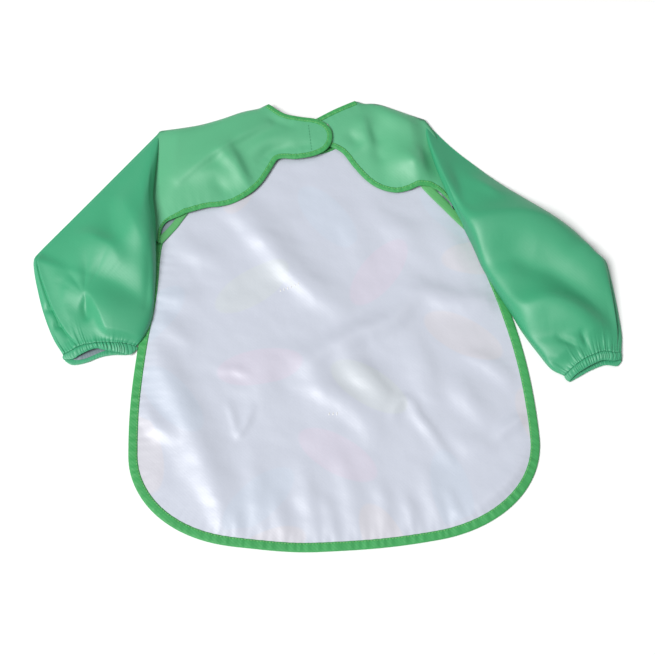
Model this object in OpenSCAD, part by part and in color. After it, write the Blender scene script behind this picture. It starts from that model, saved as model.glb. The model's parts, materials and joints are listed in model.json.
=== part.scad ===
// Child's long-sleeved smock, lying flat on its front with its back fastening closed.
// Millimetres, +Z up, neck towards +Y. Garment points are worked out for one side with the hem's
// middle at the origin, and the left side is the mirrored one with its own lay.

/* [Front panel] */
// Length of the panel, from the hem to the neck points
body_len = 482; // [420:1:540]
// Widest width of the panel, low on its sides
hem_w = 400; // [350:1:440]
// Height of that widest place above the hem
hem_rise = 102; // [85:1:125]
// Width of each rounded hem corner
corner_w = 105; // [80:1:130]
// Drop of the hem between its corners and its middle
hem_bow = 5.5; // [3:0.5:10]
// Width between the two underarm points
chest_w = 320; // [290:1:336]
// Drop from a neck point to the underarm point
armhole_drop = 151; // [138:1:170]
// Width between the two neck points
neck_w = 92; // [84:1:100]
// Depth of the front neckline
neck_drop = 60; // [48:1:72]

/* [Folds of the panel as it lies] */
// Height of its main folds
fold_h = 5; // [2:0.5:6]
// Width of a main fold from its crest to each foot
fold_w = 19; // [12:1:22]

/* [Back flaps] */
// Width of the fastening tab at a flap's free end
tab_w = 43; // [38:1:48]
// Drop from a neck point to the middle of the tab
tab_drop = 38; // [34:1:42]
// Reach of the left tab past the garment's middle
left_tab_reach = 18.5; // [14:0.5:22]
// Reach of the right tab past the garment's middle, under the left one
right_tab_reach = 14; // [11:0.5:16]
// Sideways place of the knee in a flap's lower edge, out from the neck point
knee_out = 16; // [10:1:22]
// Drop of that knee below the neck point
knee_drop = 91; // [84:1:98]
// Length of the left flap's fold line, down from the neck point
left_fold_len = 146; // [136:1:150]
// Length of the right flap's fold line, down from the neck point
right_fold_len = 132; // [124:1:140]
// Angle by which the free edge under each arm swings out from the raglan line
underarm_swing = 25; // [12:1:30]

/* [Sleeves] */
// Length of the sleeve's outer edge from the neck point to the elbow corner
neck_to_elbow = 318; // [290:1:340]
// Length of the sleeve's outer edge from the elbow corner to the end of the cuff
elbow_to_cuff = 112; // [95:1:130]
// Rounding length on each side of the elbow corner
elbow_round = 16; // [8:1:24]
// Length round the outside of the gathered cuff
cuff_round = 150; // [140:1:165]
// Length of the cuff casing that holds the elastic
casing_len = 10; // [9:0.5:14]
// Extra height of the sleeve at its middle, from the air in it
sleeve_puff = 15; // [8:1:24]
// Share by which the sleeve's side creases sink from its half height to the table
sleeve_sag = 0.7; // [0:0.05:0.75]
// Angle by which the sleeve's lower edge bows in
sleeve_bow = 12; // [4:1:18]

/* [Lay of the left sleeve] */
// Length of the shoulder fold, from the neck point out
left_shoulder_len = 118; // [105:1:125]
// Slope of the shoulder fold
left_shoulder_slope = 11.3; // [6:0.1:16]
// Angle of the upper arm out from straight down
left_arm_angle = 42; // [36:0.5:46]
// Angle of the forearm out from straight down
left_forearm_angle = -17.5; // [-24:0.5:-10]
// Rise of the cuff's inner end over its outer end
left_cuff_turn = 9.6; // [4:0.2:14]
// Height of the cuff as it lies
left_cuff_h = 12; // [11.5:0.5:16]

/* [Lay of the right sleeve] */
// Length of the shoulder fold, from the neck point out
right_shoulder_len = 77; // [70:1:90]
// Slope of the shoulder fold
right_shoulder_slope = 18.9; // [14:0.1:24]
// Angle of the upper arm out from straight down
right_arm_angle = 44.3; // [40:0.1:48]
// Angle of the forearm out from straight down
right_forearm_angle = 0; // [-6:0.5:6]
// Rise of the cuff's inner end over its outer end
right_cuff_turn = -19; // [-24:0.5:-12]
// Height of the cuff as it lies
right_cuff_h = 20; // [14:0.5:24]

/* [Cloth and trims] */
// Thickness of the coated cloth
cloth_t = 0.8; // [0.6:0.1:1]
// Thickness of one ply of the binding tape
tape_t = 0.5; // [0.4:0.05:0.6]
// Width of the folded binding on the edges
tape_w = 8.5; // [7:0.5:9.5]
// Width of the wrapped seam along each raglan line
raglan_w = 9; // [7:0.5:10]
// Thickness of that wrapped seam
raglan_t = 1.6; // [1.2:0.1:1.8]
// Height of the room between the front panel and the right back flap
body_room = 7.9; // [7.5:0.1:10]
// Thickness of each fastening patch
patch_t = 1.2; // [1:0.1:1.4]
// Length of the loop patch, along the tab
loop_len = 19; // [15:1:22]
// Height of the loop patch
loop_h = 20; // [16:1:21]
// Turn of the loop patch on its tab
loop_turn = 10; // [0:1:14]
// Width of the cuff elastic
elastic_w = 7; // [5:0.5:8]
// Thickness of the cuff elastic
elastic_t = 1; // [0.8:0.1:1.2]
// Thickness of a sewing thread's bars
thread_t = 0.3; // [0.2:0.05:0.4]

/* [Clearances] */
// Gap along each fold line and armhole seam, where cloth bends
seam_gap = 0.3; // [0.2:0.05:0.4]
// Gap between the hook patch and the loop patch
patch_gap = 0.2; // [0.2:0.05:0.4]
// Gap between the elastic and its casing
elastic_gap = 0.1; // [0.05:0.05:0.15]

/* [Hidden] */

LEFT = 0;
RIGHT = 1;
sleeve_green = "#5fb68a";
binding_green = "#46a862";
panel_white = "#e9ebf3";
patch_white = "#f2f2ee";
thread_white = "#f7f7f5";
elastic_cream = "#e8e2d2";

// Lay values by side
shoulder_len = [left_shoulder_len, right_shoulder_len];
shoulder_slope = [left_shoulder_slope, right_shoulder_slope];
arm_angle = [left_arm_angle, right_arm_angle];
forearm_angle = [left_forearm_angle, right_forearm_angle];
cuff_turn = [left_cuff_turn, right_cuff_turn];
cuff_h = [left_cuff_h, right_cuff_h];
fold_len = [left_fold_len, right_fold_len];
tab_reach = [left_tab_reach, right_tab_reach];

// Heights of the layers
panel_z = tape_t;
panel_top = panel_z + cloth_t;
binding_t = cloth_t + 2 * tape_t;
sleeve_floor = binding_t + seam_gap;
right_flap_z = panel_top + body_room;
left_flap_z = right_flap_z + cloth_t + 2 * patch_t + patch_gap;
flap_z = [left_flap_z, right_flap_z];
loop_z = right_flap_z + cloth_t;
hook_z = left_flap_z - patch_t;

// Curves and outlines
curve_steps = 12;
arc_steps = 16;
ring_points = 28;
handle_share = 0.39;
far = 600;
tab_r = tab_w / 2;

function heading(a) = [cos(a), sin(a)];
function angle_of(v) = atan2(v.y, v.x);
function unit(v) = v / norm(v);
function left_of(v) = [-v.y, v.x];
function reverse(p) = [for (i = [len(p) - 1:-1:0]) p[i]];
function mirrored(p) = [for (q = p) [-q.x, q.y]];
function tail(p) = [for (i = [1:1:len(p) - 1]) p[i]];

// One point of a smooth curve from p to q, leaving p at angle a and reaching q at angle b
function curve_at(p, a, q, b, t) =
    let (h = handle_share * norm(q - p), p1 = p + h * heading(a), q1 = q - h * heading(b), u = 1 - t)
    u * u * u * p + 3 * u * u * t * p1 + 3 * u * t * t * q1 + t * t * t * q;
function curve(p, a, q, b, n = curve_steps) = [for (i = [0:n]) curve_at(p, a, q, b, i / n)];
function arc(c, r, a, b, n = arc_steps) = [for (i = [0:n]) c + r * heading(a + (b - a) * i / n)];

// A path moved sideways, to its left for a positive distance
function beside(p, d) = [for (i = [0:len(p) - 1])
    p[i] + d * left_of(unit(p[min(i + 1, len(p) - 1)] - p[max(i - 1, 0)]))];
function band(p, to_left, to_right) = concat(beside(p, to_left), reverse(beside(p, -to_right)));

// Named points of the right half
neck = [neck_w / 2, body_len];
under = [chest_w / 2, body_len - armhole_drop];
widest = [hem_w / 2, hem_rise];
corner = [hem_w / 2 - corner_w, hem_bow];
hem_mid = [0, 0];
raglan = unit(under - neck);
raglan_angle = angle_of(raglan);
raglan_out = left_of(raglan);
side_angle = -75;
corner_angle = -173;
hem_angle = -180;

// Side, corner and hem of the panel, from the right underarm point round to the left one
half_edge = concat(curve(under, side_angle, widest, -90), tail(curve(widest, -90, corner, corner_angle)),
                   tail(curve(corner, corner_angle, hem_mid, hem_angle)));
panel_edge = concat(half_edge, tail(reverse(mirrored(half_edge))));
function neckline(grow) = [for (i = [0:2 * arc_steps])
    let (a = 90 * i / arc_steps) [-(neck_w / 2 + grow) * cos(a), body_len - (neck_drop + grow) * sin(a)]];
panel_outline = concat(panel_edge, neckline(0));

// Back flap of one side, drawn as the right one: its free edge from the neck point round the tab
// to the end of its fold line
function fold_end(k) = neck + fold_len[k] * raglan;
function tab_mid(k) = [tab_r - tab_reach[k], body_len - tab_drop];
knee = neck + [knee_out, -knee_drop];
neck_angle = -155;
knee_angle = -43;
flap_end_angle = -8;
function flap_edge(k) = concat(
    curve(neck, neck_angle, tab_mid(k) + [0, tab_r], -180),
    tail(arc(tab_mid(k), tab_r, 90, 270)),
    tail(curve(tab_mid(k) - [0, tab_r], 0, knee, knee_angle)),
    tail(curve(knee, knee_angle, fold_end(k), flap_end_angle)));

// Shoulder of one side: its tip, and the free edge under the arm, which swings out from the raglan
// line and comes back to the underarm point inside the shoulder's corner there
function tip(k) = neck + shoulder_len[k] * heading(-shoulder_slope[k]);
function under_corner(k) = angle_of(neck - under) - angle_of(tip(k) - under);
corner_share = 0.6;
function free_edge(k) = curve(fold_end(k), raglan_angle + underarm_swing,
                              under, raglan_angle - corner_share * under_corner(k));

// Ends of the fold's inner face, one cloth thickness in from the shoulder's top edge
function armhole(k) = unit(under - tip(k));
function inside_top(k, side) = cloth_t / abs(cross(side, unit(tip(k) - neck)));
function fold_at_neck(k) = neck + inside_top(k, raglan) * raglan;
function fold_at_tip(k) = tip(k) + inside_top(k, armhole(k)) * armhole(k);

// Sleeve of one side, drawn as the right one. Its lower end sags a little past the underarm point.
function armhole_out(k) = left_of(armhole(k));
function cuff_w(k) = (cuff_round - PI * cuff_h[k]) / 2 + cuff_h[k];
function sleeve_tip(k) = tip(k) + seam_gap * armhole_out(k);
under_sag = 14;
function sleeve_under(k) = under + seam_gap * armhole_out(k) + under_sag * armhole(k);
function elbow(k) = tip(k) + (neck_to_elbow - shoulder_len[k]) * heading(arm_angle[k] - 90);
function wrist(k) = elbow(k) + (elbow_to_cuff - casing_len) * heading(forearm_angle[k] - 90);
function wrist_in(k) = wrist(k) + cuff_w(k) * [-cos(cuff_turn[k]), sin(cuff_turn[k])];
casing_wall = 2 * cloth_t + elastic_t + 2 * elastic_gap;

arm_rings = 6;
elbow_rings = 3;
forearm_rings = 4;
function outer_edge(k) =
    let (up = elbow(k) - elbow_round * heading(arm_angle[k] - 90),
         down = elbow(k) + elbow_round * heading(forearm_angle[k] - 90))
    concat([for (i = [0:arm_rings]) sleeve_tip(k) + (up - sleeve_tip(k)) * i / arm_rings],
           tail(curve(up, arm_angle[k] - 90, down, forearm_angle[k] - 90, elbow_rings)),
           [for (i = [1:forearm_rings]) down + (wrist(k) - down) * i / forearm_rings]);
function length_to(p, i) = i == 0 ? 0 : norm(p[i] - p[i - 1]) + length_to(p, i - 1);
function shares(p) = let (n = len(p) - 1) [for (i = [0:n]) length_to(p, i) / length_to(p, n)];
function inner_point(k, t) =
    let (a = angle_of(wrist_in(k) - under))
    curve_at(sleeve_under(k), a - sleeve_bow, wrist_in(k), a + sleeve_bow, t);
function sleeve_h(k, t) =
    (flap_z[k] + cloth_t - sleeve_floor) * (1 - t) + cuff_h[k] * t + 4 * sleeve_puff * t * (1 - t);

// Soft section of a filled sleeve: flatter than an ellipse, its side creases low where the sleeve sags
section_power = 2.6;
function soft(v) = sign(v) * pow(abs(v), 2 / section_power);
function crease_h(k, t) = sleeve_h(k, t) / 2 * (1 - sleeve_sag * 4 * t * (1 - t));
function ring(o, i, h, crease, wall) =
    let (mid = (o + i) / 2, across = unit(o - i), a = norm(o - i) / 2 - wall)
    [for (j = [0:ring_points - 1])
        let (f = 360 * j / ring_points, p = mid + a * soft(cos(f)) * across,
             b = (sin(f) > 0 ? h - crease : crease) - wall)
        [p.x, p.y, sleeve_floor + crease + b * soft(sin(f))]];
function rings(k, end_wall, walls) =
    let (o = outer_edge(k), t = shares(o), n = len(o) - 1)
    [for (r = [0:n]) each ring(o[r], inner_point(k, t[r]), sleeve_h(k, t[r]), crease_h(k, t[r]),
                               walls ? (r == n ? end_wall : cloth_t) : 0)];

// Place of the garment's box, so that the part's origin is under its middle
function cuff_corner(k) = wrist(k) - casing_len * [sin(cuff_turn[k]), cos(cuff_turn[k])];
function reach(k) = max([for (p = concat(outer_edge(k), [cuff_corner(k)])) p.x]);
lay_shift = [(reach(LEFT) - reach(RIGHT)) / 2, -(body_len - tape_t) / 2, 0];

module laid(k) {
    translate(lay_shift)
        if (k == LEFT) mirror([1, 0, 0]) children();
        else children();
}

module slab(z, t, outline) {
    translate([0, 0, z])
        linear_extrude(height = t)
            polygon(outline);
}

// All that lies on the flap's side of the fold line, short of it by the gap
module flap_side(gap) {
    a = neck - far * raglan - gap * raglan_out;
    b = neck + far * raglan - gap * raglan_out;
    slab(-far, 2 * far, [a, b, b - far * raglan_out, a - far * raglan_out]);
}

// The shoulder's triangle between the neck point, the shoulder tip and the underarm point
module shoulder_triangle(k, z, t) {
    slab(z, t, [neck, under, tip(k)]);
}

// Main folds of the panel, each through points in shares of the panel's half width and of its length,
// with its share of the height and of the width. The first two meet at the upper row of tacking bars.
main_folds = [
    [[[-0.46, 0.745], [-0.4, 0.71], [-0.32, 0.655], [-0.23, 0.6]], 1, 0.8],
    [[[-0.1, 0.548], [-0.04, 0.52], [0.03, 0.5], [0.1, 0.48]], 0.9, 0.6],
    [[[-0.06, 0.405], [0.04, 0.435], [0.16, 0.458], [0.31, 0.477], [0.39, 0.504], [0.45, 0.54]], 1, 0.8],
    [[[0.48, 0.522], [0.58, 0.503], [0.68, 0.488], [0.78, 0.484], [0.84, 0.482]], 0.9, 0.9],
    [[[-0.83, 0.41], [-0.77, 0.315], [-0.7, 0.245], [-0.65, 0.19], [-0.59, 0.14], [-0.5, 0.085]], 1, 1],
    [[[0.06, 0.41], [0.1, 0.385], [0.17, 0.345], [0.28, 0.287]], 0.8, 0.8],
    [[[-0.2, 0.41], [-0.14, 0.378], [-0.07, 0.34], [-0.03, 0.3]], 0.6, 0.9],
    [[[0.61, 0.09], [0.7, 0.112], [0.79, 0.142], [0.86, 0.18]], 0.8, 0.7],
    [[[0.25, 0.72], [0.31, 0.695], [0.41, 0.65], [0.53, 0.59]], 0.6, 0.9],
];
function on_panel(p) = [for (q = p) [q.x * hem_w / 2, q.y * body_len]];

// Ridge of a fold through points p: its feet w to each side at height z, its crest h above them, and
// running out to nothing at both ends
module fold_ridge(p, w, h, z) {
    n = len(p) - 1;
    to_left = beside(p, w);
    to_right = beside(p, -w);
    end = 3 * n - 2;
    points = concat([[each p[0], z]],
                    [for (i = [1:n - 1]) each [[each to_left[i], z], [each p[i], z + h], [each to_right[i], z]]],
                    [[each p[n], z]]);
    left = function (i) 3 * i - 2;
    foot = concat([0], [for (i = [1:n - 1]) left(i) + 2], [end], [for (i = [n - 1:-1:1]) left(i)]);
    flanks = [for (i = [1:1:n - 2]) let (a = left(i), b = left(i + 1))
        each [[a, b, b + 1], [a, b + 1, a + 1], [a + 2, a + 1, b + 1], [a + 2, b + 1, b + 2]]];
    tips = let (b = left(n - 1)) [[0, 1, 2], [0, 2, 3], [b, end, b + 1], [b + 2, b + 1, end]];
    polyhedron(points, concat([foot], flanks, tips));
}
module fold_ridges(z) {
    for (f = main_folds)
        fold_ridge(on_panel(f[0]), f[2] * fold_w, f[1] * fold_h + cloth_t / 2, z);
}

// One sheet, raised in its folds and hollow under them
module front_panel() {
    color(panel_white)
        laid(RIGHT)
            difference() {
                union() {
                    slab(panel_z, cloth_t, panel_outline);
                    fold_ridges(panel_top - cloth_t / 2);
                }
                fold_ridges(panel_z - cloth_t / 2);
            }
}

// Tape folded over the panel's sides, corners and hem
module hem_binding() {
    color(binding_green)
        laid(RIGHT)
            difference() {
                slab(0, binding_t, band(panel_edge, tape_t, tape_w - tape_t));
                slab(panel_z, cloth_t, panel_outline);
            }
}

// Tape folded over the front neckline, cut off along the raglan lines
module front_neck_binding() {
    color(binding_green)
        laid(RIGHT)
            difference() {
                intersection() {
                    slab(0, binding_t, concat(neckline(-tape_t), reverse(neckline(tape_w - tape_t))));
                    slab(0, binding_t, concat(mirrored([under, neck, neck + [0, tape_w]]),
                                              [neck + [0, tape_w], neck, under]));
                }
                slab(panel_z, cloth_t, panel_outline);
            }
}

// Cloth standing up in the fold along the shoulder's top
module shoulder_fold(k) {
    slab(panel_z, flap_z[k] + cloth_t - panel_z, [neck, fold_at_neck(k), fold_at_tip(k), tip(k)]);
}

// Cloth over the shoulder: front layer, fold along the top and back layer
module shoulder(k) {
    color(sleeve_green)
        laid(k) {
            shoulder_triangle(k, panel_z, cloth_t);
            slab(flap_z[k], cloth_t, concat([tip(k), neck], free_edge(k)));
            shoulder_fold(k);
        }
}

// Seam allowances wrapped in tape, lying over the shoulder along the raglan line, inside its fold
module raglan_binding(k) {
    start = neck + raglan_w * raglan;
    color(binding_green)
        laid(k)
            intersection() {
                slab(panel_top, raglan_t, [start, under, under + raglan_w * raglan_out,
                                           start + raglan_w * raglan_out]);
                slab(panel_top, raglan_t, [fold_at_neck(k), under, fold_at_tip(k)]);
            }
}

// Tape folded over the free edge under the arm
module underarm_binding(k) {
    color(binding_green)
        laid(k)
            difference() {
                intersection() {
                    slab(flap_z[k] - tape_t, binding_t, band(free_edge(k), tape_w - tape_t, tape_t));
                    shoulder_triangle(k, 0, far);
                }
                slab(flap_z[k], cloth_t, concat([tip(k), neck], free_edge(k)));
            }
}

module back_flap(k) {
    color(sleeve_green)
        laid(k)
            intersection() {
                slab(flap_z[k], cloth_t, flap_edge(k));
                flap_side(seam_gap);
            }
}

// Tape folded over the flap's free edge, from the neck point round the tab
module flap_binding(k) {
    color(binding_green)
        laid(k)
            difference() {
                intersection() {
                    slab(flap_z[k] - tape_t, binding_t, band(flap_edge(k), tape_w - tape_t, tape_t));
                    flap_side(seam_gap);
                }
                slab(flap_z[k], cloth_t, flap_edge(k));
            }
}

// Round-ended hook patch under the left tab, inside its binding
patch_r = tab_r - tape_w + tape_t - seam_gap;
hook_back = 1;
module hook_patch() {
    color(patch_white)
        laid(LEFT)
            translate([tab_mid(LEFT).x, tab_mid(LEFT).y, hook_z])
                intersection() {
                    cylinder(h = patch_t, r = patch_r, $fn = 64);
                    translate([-far - hook_back, -far / 2, 0])
                        cube([far, far, patch_t]);
                }
}

// A row of sewing bars from p to q on a face at height z
stitch_len = 2.6;
stitch_pitch = 3.6;
stitch_w = 0.6;
module stitch_row(p, q, z) {
    count = floor(norm(q - p) / stitch_pitch);
    along = unit(q - p);
    for (i = [0:count - 1]) {
        mid = (p + q) / 2 + (i - (count - 1) / 2) * stitch_pitch * along;
        translate([mid.x, mid.y, z])
            rotate(angle_of(along))
                translate([-stitch_len / 2, -stitch_w / 2, 0])
                    cube([stitch_len, stitch_w, thread_t]);
    }
}

// Stitches that hold the hook patch's straight edge, on the outside of the left tab
hook_seam = 2;
module hook_patch_stitching() {
    seam = tab_mid(LEFT) - [hook_back + hook_seam, 0];
    color(thread_white)
        laid(LEFT)
            stitch_row(seam - [0, patch_r], seam + [0, patch_r], left_flap_z + cloth_t);
}

// Loop patch on the right tab, its end corners just inside the tab's binding, and a little askew
// so that its far corners show past the left tab
loop_back = sqrt(patch_r * patch_r - loop_h * loop_h / 4);
module on_right_tab() {
    translate([tab_mid(RIGHT).x, tab_mid(RIGHT).y, 0])
        rotate(loop_turn)
            translate([loop_len / 2 - loop_back, 0, 0])
                children();
}
module loop_patch() {
    color(patch_white)
        laid(RIGHT)
            on_right_tab()
                translate([-loop_len / 2, -loop_h / 2, loop_z])
                    cube([loop_len, loop_h, patch_t]);
}
module loop_patch_stitching() {
    inset = stitch_pitch / 2;
    x = loop_len / 2 - inset;
    y = loop_h / 2 - inset;
    color(thread_white)
        laid(RIGHT)
            on_right_tab()
                for (side = [-1, 1]) {
                    stitch_row([-x + inset, side * y], [x - inset, side * y], right_flap_z - thread_t);
                    stitch_row([side * x, inset - y], [side * x, y - inset], right_flap_z - thread_t);
                }
}

// Short rows of tacking bars sewn through the panel, each at [x, y] with a turn and a count of bars
bartack_len = 4;
bartack_w = 0.9;
bartack_pitch = 3.8;
upper_row = on_panel([[-0.165, 0.562]])[0];
upper_turn = 11;
upper_bars = 6;
lower_row = on_panel([[0.018, 0.28]])[0];
lower_turn = 0;
lower_bars = 3;
module bartack_row(mid, turn, count) {
    translate([mid.x, mid.y, panel_top])
        rotate(turn)
            for (i = [0:count - 1])
                translate([(i - (count - 1) / 2) * bartack_pitch - bartack_w / 2, -bartack_len / 2, 0])
                    cube([bartack_w, bartack_len, thread_t]);
}
module panel_bartacks() {
    color(thread_white)
        laid(RIGHT) {
            bartack_row(upper_row, upper_turn, upper_bars);
            bartack_row(lower_row, lower_turn, lower_bars);
        }
}

// Sleeve tube from the armhole to the cuff casing: outer skin, inner skin and the two rims
module sleeve(k) {
    n = ring_points;
    last = arm_rings + elbow_rings + forearm_rings;
    skin = n * (last + 1);
    outer = [for (r = [0:last - 1], j = [0:n - 1])
        let (a = r * n + j, b = r * n + (j + 1) % n) each [[a, a + n, b], [b, a + n, b + n]]];
    rims = [for (r = [0, last], j = [0:n - 1])
        let (a = r * n + j, b = r * n + (j + 1) % n, f = [[a, b, a + skin], [b, b + skin, a + skin]])
        each (r == 0 ? f : [for (g = f) reverse(g)])];
    inner = [for (f = outer) reverse([for (i = f) i + skin])];
    color(sleeve_green)
        laid(k)
            polyhedron(concat(rings(k, 0, false), rings(k, casing_wall, true)), concat(outer, inner, rims));
}

// Flat-sided round of a cuff, taken in by the given depth
module cuff_section(k, depth) {
    w = cuff_w(k) - 2 * depth;
    h = cuff_h[k] - 2 * depth;
    square([w - h, h], center = true);
    for (side = [-1, 1])
        translate([side * (w - h) / 2, 0])
            circle(d = h, $fn = 64);
}
module cuff_round_of(k, from, len, depth) {
    mid = (wrist(k) + wrist_in(k)) / 2;
    translate([mid.x, mid.y, sleeve_floor + cuff_h[k] / 2])
        rotate([90, 0, -cuff_turn[k]])
            translate([0, 0, from])
                linear_extrude(height = len)
                    cuff_section(k, depth);
}

// Turned cuff hem with the channel for the elastic, which the sleeve's gathered end closes
module cuff_casing(k) {
    color(sleeve_green)
        laid(k)
            difference() {
                cuff_round_of(k, 0, casing_len, 0);
                cuff_round_of(k, -casing_len, 3 * casing_len, casing_wall);
                difference() {
                    cuff_round_of(k, -casing_len, 2 * casing_len - cloth_t, cloth_t);
                    cuff_round_of(k, -2 * casing_len, 4 * casing_len, casing_wall - cloth_t);
                }
            }
}
module cuff_elastic(k) {
    start = (casing_len - cloth_t - elastic_w) / 2;
    color(elastic_cream)
        laid(k)
            difference() {
                cuff_round_of(k, start, elastic_w, cloth_t + elastic_gap);
                cuff_round_of(k, start - elastic_w, 3 * elastic_w, casing_wall - cloth_t - elastic_gap);
            }
}

front_panel();
hem_binding();
front_neck_binding();
raglan_binding(LEFT);  // left_raglan_binding
raglan_binding(RIGHT);  // right_raglan_binding
shoulder(LEFT);  // left_shoulder
shoulder(RIGHT);  // right_shoulder
underarm_binding(LEFT);  // left_underarm_binding
underarm_binding(RIGHT);  // right_underarm_binding
panel_bartacks();
back_flap(LEFT);  // left_back_flap
flap_binding(LEFT);  // left_flap_binding
hook_patch();
hook_patch_stitching();
back_flap(RIGHT);  // right_back_flap
flap_binding(RIGHT);  // right_flap_binding
loop_patch();
loop_patch_stitching();
sleeve(LEFT);  // left_sleeve
cuff_casing(LEFT);  // left_cuff_casing
cuff_elastic(LEFT);  // left_cuff_elastic
sleeve(RIGHT);  // right_sleeve
cuff_casing(RIGHT);  // right_cuff_casing
cuff_elastic(RIGHT);  // right_cuff_elastic
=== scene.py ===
"""A child's long-sleeved smock, lying on its front with its back fastening closed."""

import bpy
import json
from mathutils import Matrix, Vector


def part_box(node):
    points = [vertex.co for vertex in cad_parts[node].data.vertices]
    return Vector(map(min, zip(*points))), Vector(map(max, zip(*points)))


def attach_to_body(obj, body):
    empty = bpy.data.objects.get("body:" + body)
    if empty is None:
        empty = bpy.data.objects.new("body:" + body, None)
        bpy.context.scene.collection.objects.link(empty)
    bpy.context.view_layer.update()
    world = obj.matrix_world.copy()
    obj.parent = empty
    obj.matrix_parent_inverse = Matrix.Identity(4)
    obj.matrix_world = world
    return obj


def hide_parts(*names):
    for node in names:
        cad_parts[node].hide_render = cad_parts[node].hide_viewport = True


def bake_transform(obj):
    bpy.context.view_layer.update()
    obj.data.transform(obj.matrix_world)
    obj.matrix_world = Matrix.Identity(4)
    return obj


bl_info = {
    "name": "Child's long-sleeved smock",
    "version": (1, 0, 0),
    "blender": (4, 5, 0),
    "location": "View3D > Sidebar > Smock",
    "description": "Makes the cloth, bindings, cuffs and fastening of a child's smock over its frame",
    "category": "Object",
}

import json
import math

import bpy
import numpy as np
from bpy.props import FloatProperty, IntProperty, PointerProperty, StringProperty
from mathutils import Vector, geometry

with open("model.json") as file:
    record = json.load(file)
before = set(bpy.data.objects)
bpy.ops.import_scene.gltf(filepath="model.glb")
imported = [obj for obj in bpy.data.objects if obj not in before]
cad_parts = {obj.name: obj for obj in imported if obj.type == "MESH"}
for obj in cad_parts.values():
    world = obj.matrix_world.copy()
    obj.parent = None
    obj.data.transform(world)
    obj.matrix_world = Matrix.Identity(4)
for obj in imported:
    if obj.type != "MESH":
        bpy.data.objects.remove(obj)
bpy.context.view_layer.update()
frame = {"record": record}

MM = 0.001
UP = np.array([0.0, 0.0, 1.0])
FULL_TURN = 6.283
SIDES = ("left", "right")
SIGN = {"left": -1, "right": 1}
JOINTS = {j["name"]: j for j in frame["record"]["behaviour"]["joints"]}


def plan_mm(point):
    """A frame point in metres as plan millimetres."""
    return np.array(point[:2], float) / MM


PANEL_LOW, PANEL_HIGH = (plan_mm(c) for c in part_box("front_panel"))
MID_X = (PANEL_LOW[0] + PANEL_HIGH[0]) / 2
HEM_Y = PANEL_LOW[1]


# Curves and folds in plan millimetres


def heading(angle):
    """Unit vector at an angle in degrees."""
    return np.array([math.cos(math.radians(angle)), math.sin(math.radians(angle))])


def run_along(path):
    """Length along a path up to each of its points."""
    return np.concatenate([[0], np.cumsum(np.linalg.norm(np.diff(path, axis=0), axis=1))])


def even(path, count):
    """The same path at evenly spaced points."""
    path = np.asarray(path, float)
    run = run_along(path)
    at = np.linspace(0, run[-1], count)
    return np.column_stack([np.interp(at, run, path[:, k]) for k in range(path.shape[1])])


def path_length(path):
    """Whole length of a path."""
    return float(np.linalg.norm(np.diff(path, axis=0), axis=1).sum())


def through(points, count=200):
    """A smooth path through given points."""
    p = np.asarray(points, float)
    p = np.vstack([2 * p[0] - p[1], p, 2 * p[-1] - p[-2]])
    t = np.linspace(0, 1, 24, endpoint=False)[:, None]
    runs = [
        0.5 * (2 * b + (c - a) * t + (2 * a - 5 * b + 4 * c - d) * t**2 + (3 * b - a - 3 * c + d) * t**3)
        for a, b, c, d in zip(p, p[1:], p[2:], p[3:])
    ]
    return even(np.vstack(runs + [p[-2:-1]]), count)


def swept_curve(p, leave, q, arrive, count=40, share=0.39):
    """A smooth curve that leaves p and reaches q at the given angles."""
    p, q = np.asarray(p, float), np.asarray(q, float)
    reach = share * np.linalg.norm(q - p)
    p1, q1 = p + reach * heading(leave), q - reach * heading(arrive)
    t = np.linspace(0, 1, count)[:, None]
    return (1 - t) ** 3 * p + 3 * (1 - t) ** 2 * t * p1 + 3 * (1 - t) * t**2 * q1 + t**3 * q


def sideways(path):
    """Unit vectors to the left of a path."""
    d = np.gradient(path[:, :2], axis=0)
    d /= np.linalg.norm(d, axis=1)[:, None]
    return np.column_stack([-d[:, 1], d[:, 0]])


def ease(v):
    """A soft step from 0 to 1."""
    v = np.clip(v, 0, 1)
    return v * v * (3 - 2 * v)


def fold_height(x, y, folds, sharp=2.0):
    """Height of soft folds, each (line, width to its left, width to its right, height)."""
    z = np.zeros(len(x))
    for line, left_w, right_w, height in folds:
        rough = through(line, 60)
        count = max(6, int(path_length(rough) / min(0.3 * min(left_w, right_w), 1.6)))
        path = even(rough, count)
        side = sideways(path)
        share = np.linspace(0, 1, count)
        tall = height * np.sqrt(np.clip(np.sin(math.pi * (0.04 + 0.92 * share)), 0, 1))
        top = np.zeros(len(x))
        reach = 0.45 * min(left_w, right_w) + 0.18 * (left_w + right_w)
        for point, out, h in zip(path, side, tall):
            dx, dy = x - point[0], y - point[1]
            across = dx * out[0] + dy * out[1]
            along = dx * out[1] - dy * out[0]
            wide = np.where(across > 0, left_w, right_w)
            bump = abs(h) * np.exp(-(np.abs(across) / wide) ** sharp - (along / reach) ** 2)
            top = np.maximum(top, bump)
        z += math.copysign(1, height) * top
    return z


def smooth_surface(points):
    """A smooth height over the plan through (x, y, z) points: a bent thin plate."""
    p = np.asarray(points, float)

    def bend(d2):
        return np.where(d2 > 0, d2 * np.log(np.maximum(d2, 1e-9)), 0)

    n = len(p)
    gap = ((p[:, None, :2] - p[None, :, :2]) ** 2).sum(axis=2) / 1e4
    base = np.column_stack([np.ones(n), p[:, :2] / 100])
    system = np.block([[bend(gap), base], [base.T, np.zeros((3, 3))]])
    weights = np.linalg.solve(system, np.concatenate([p[:, 2], np.zeros(3)]))

    def height(x, y):
        z = weights[n] + weights[n + 1] * x / 100 + weights[n + 2] * y / 100
        for w, q in zip(weights[:n], p):
            z = z + w * bend(((x - q[0]) ** 2 + (y - q[1]) ** 2) / 1e4)
        return z

    return height


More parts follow.
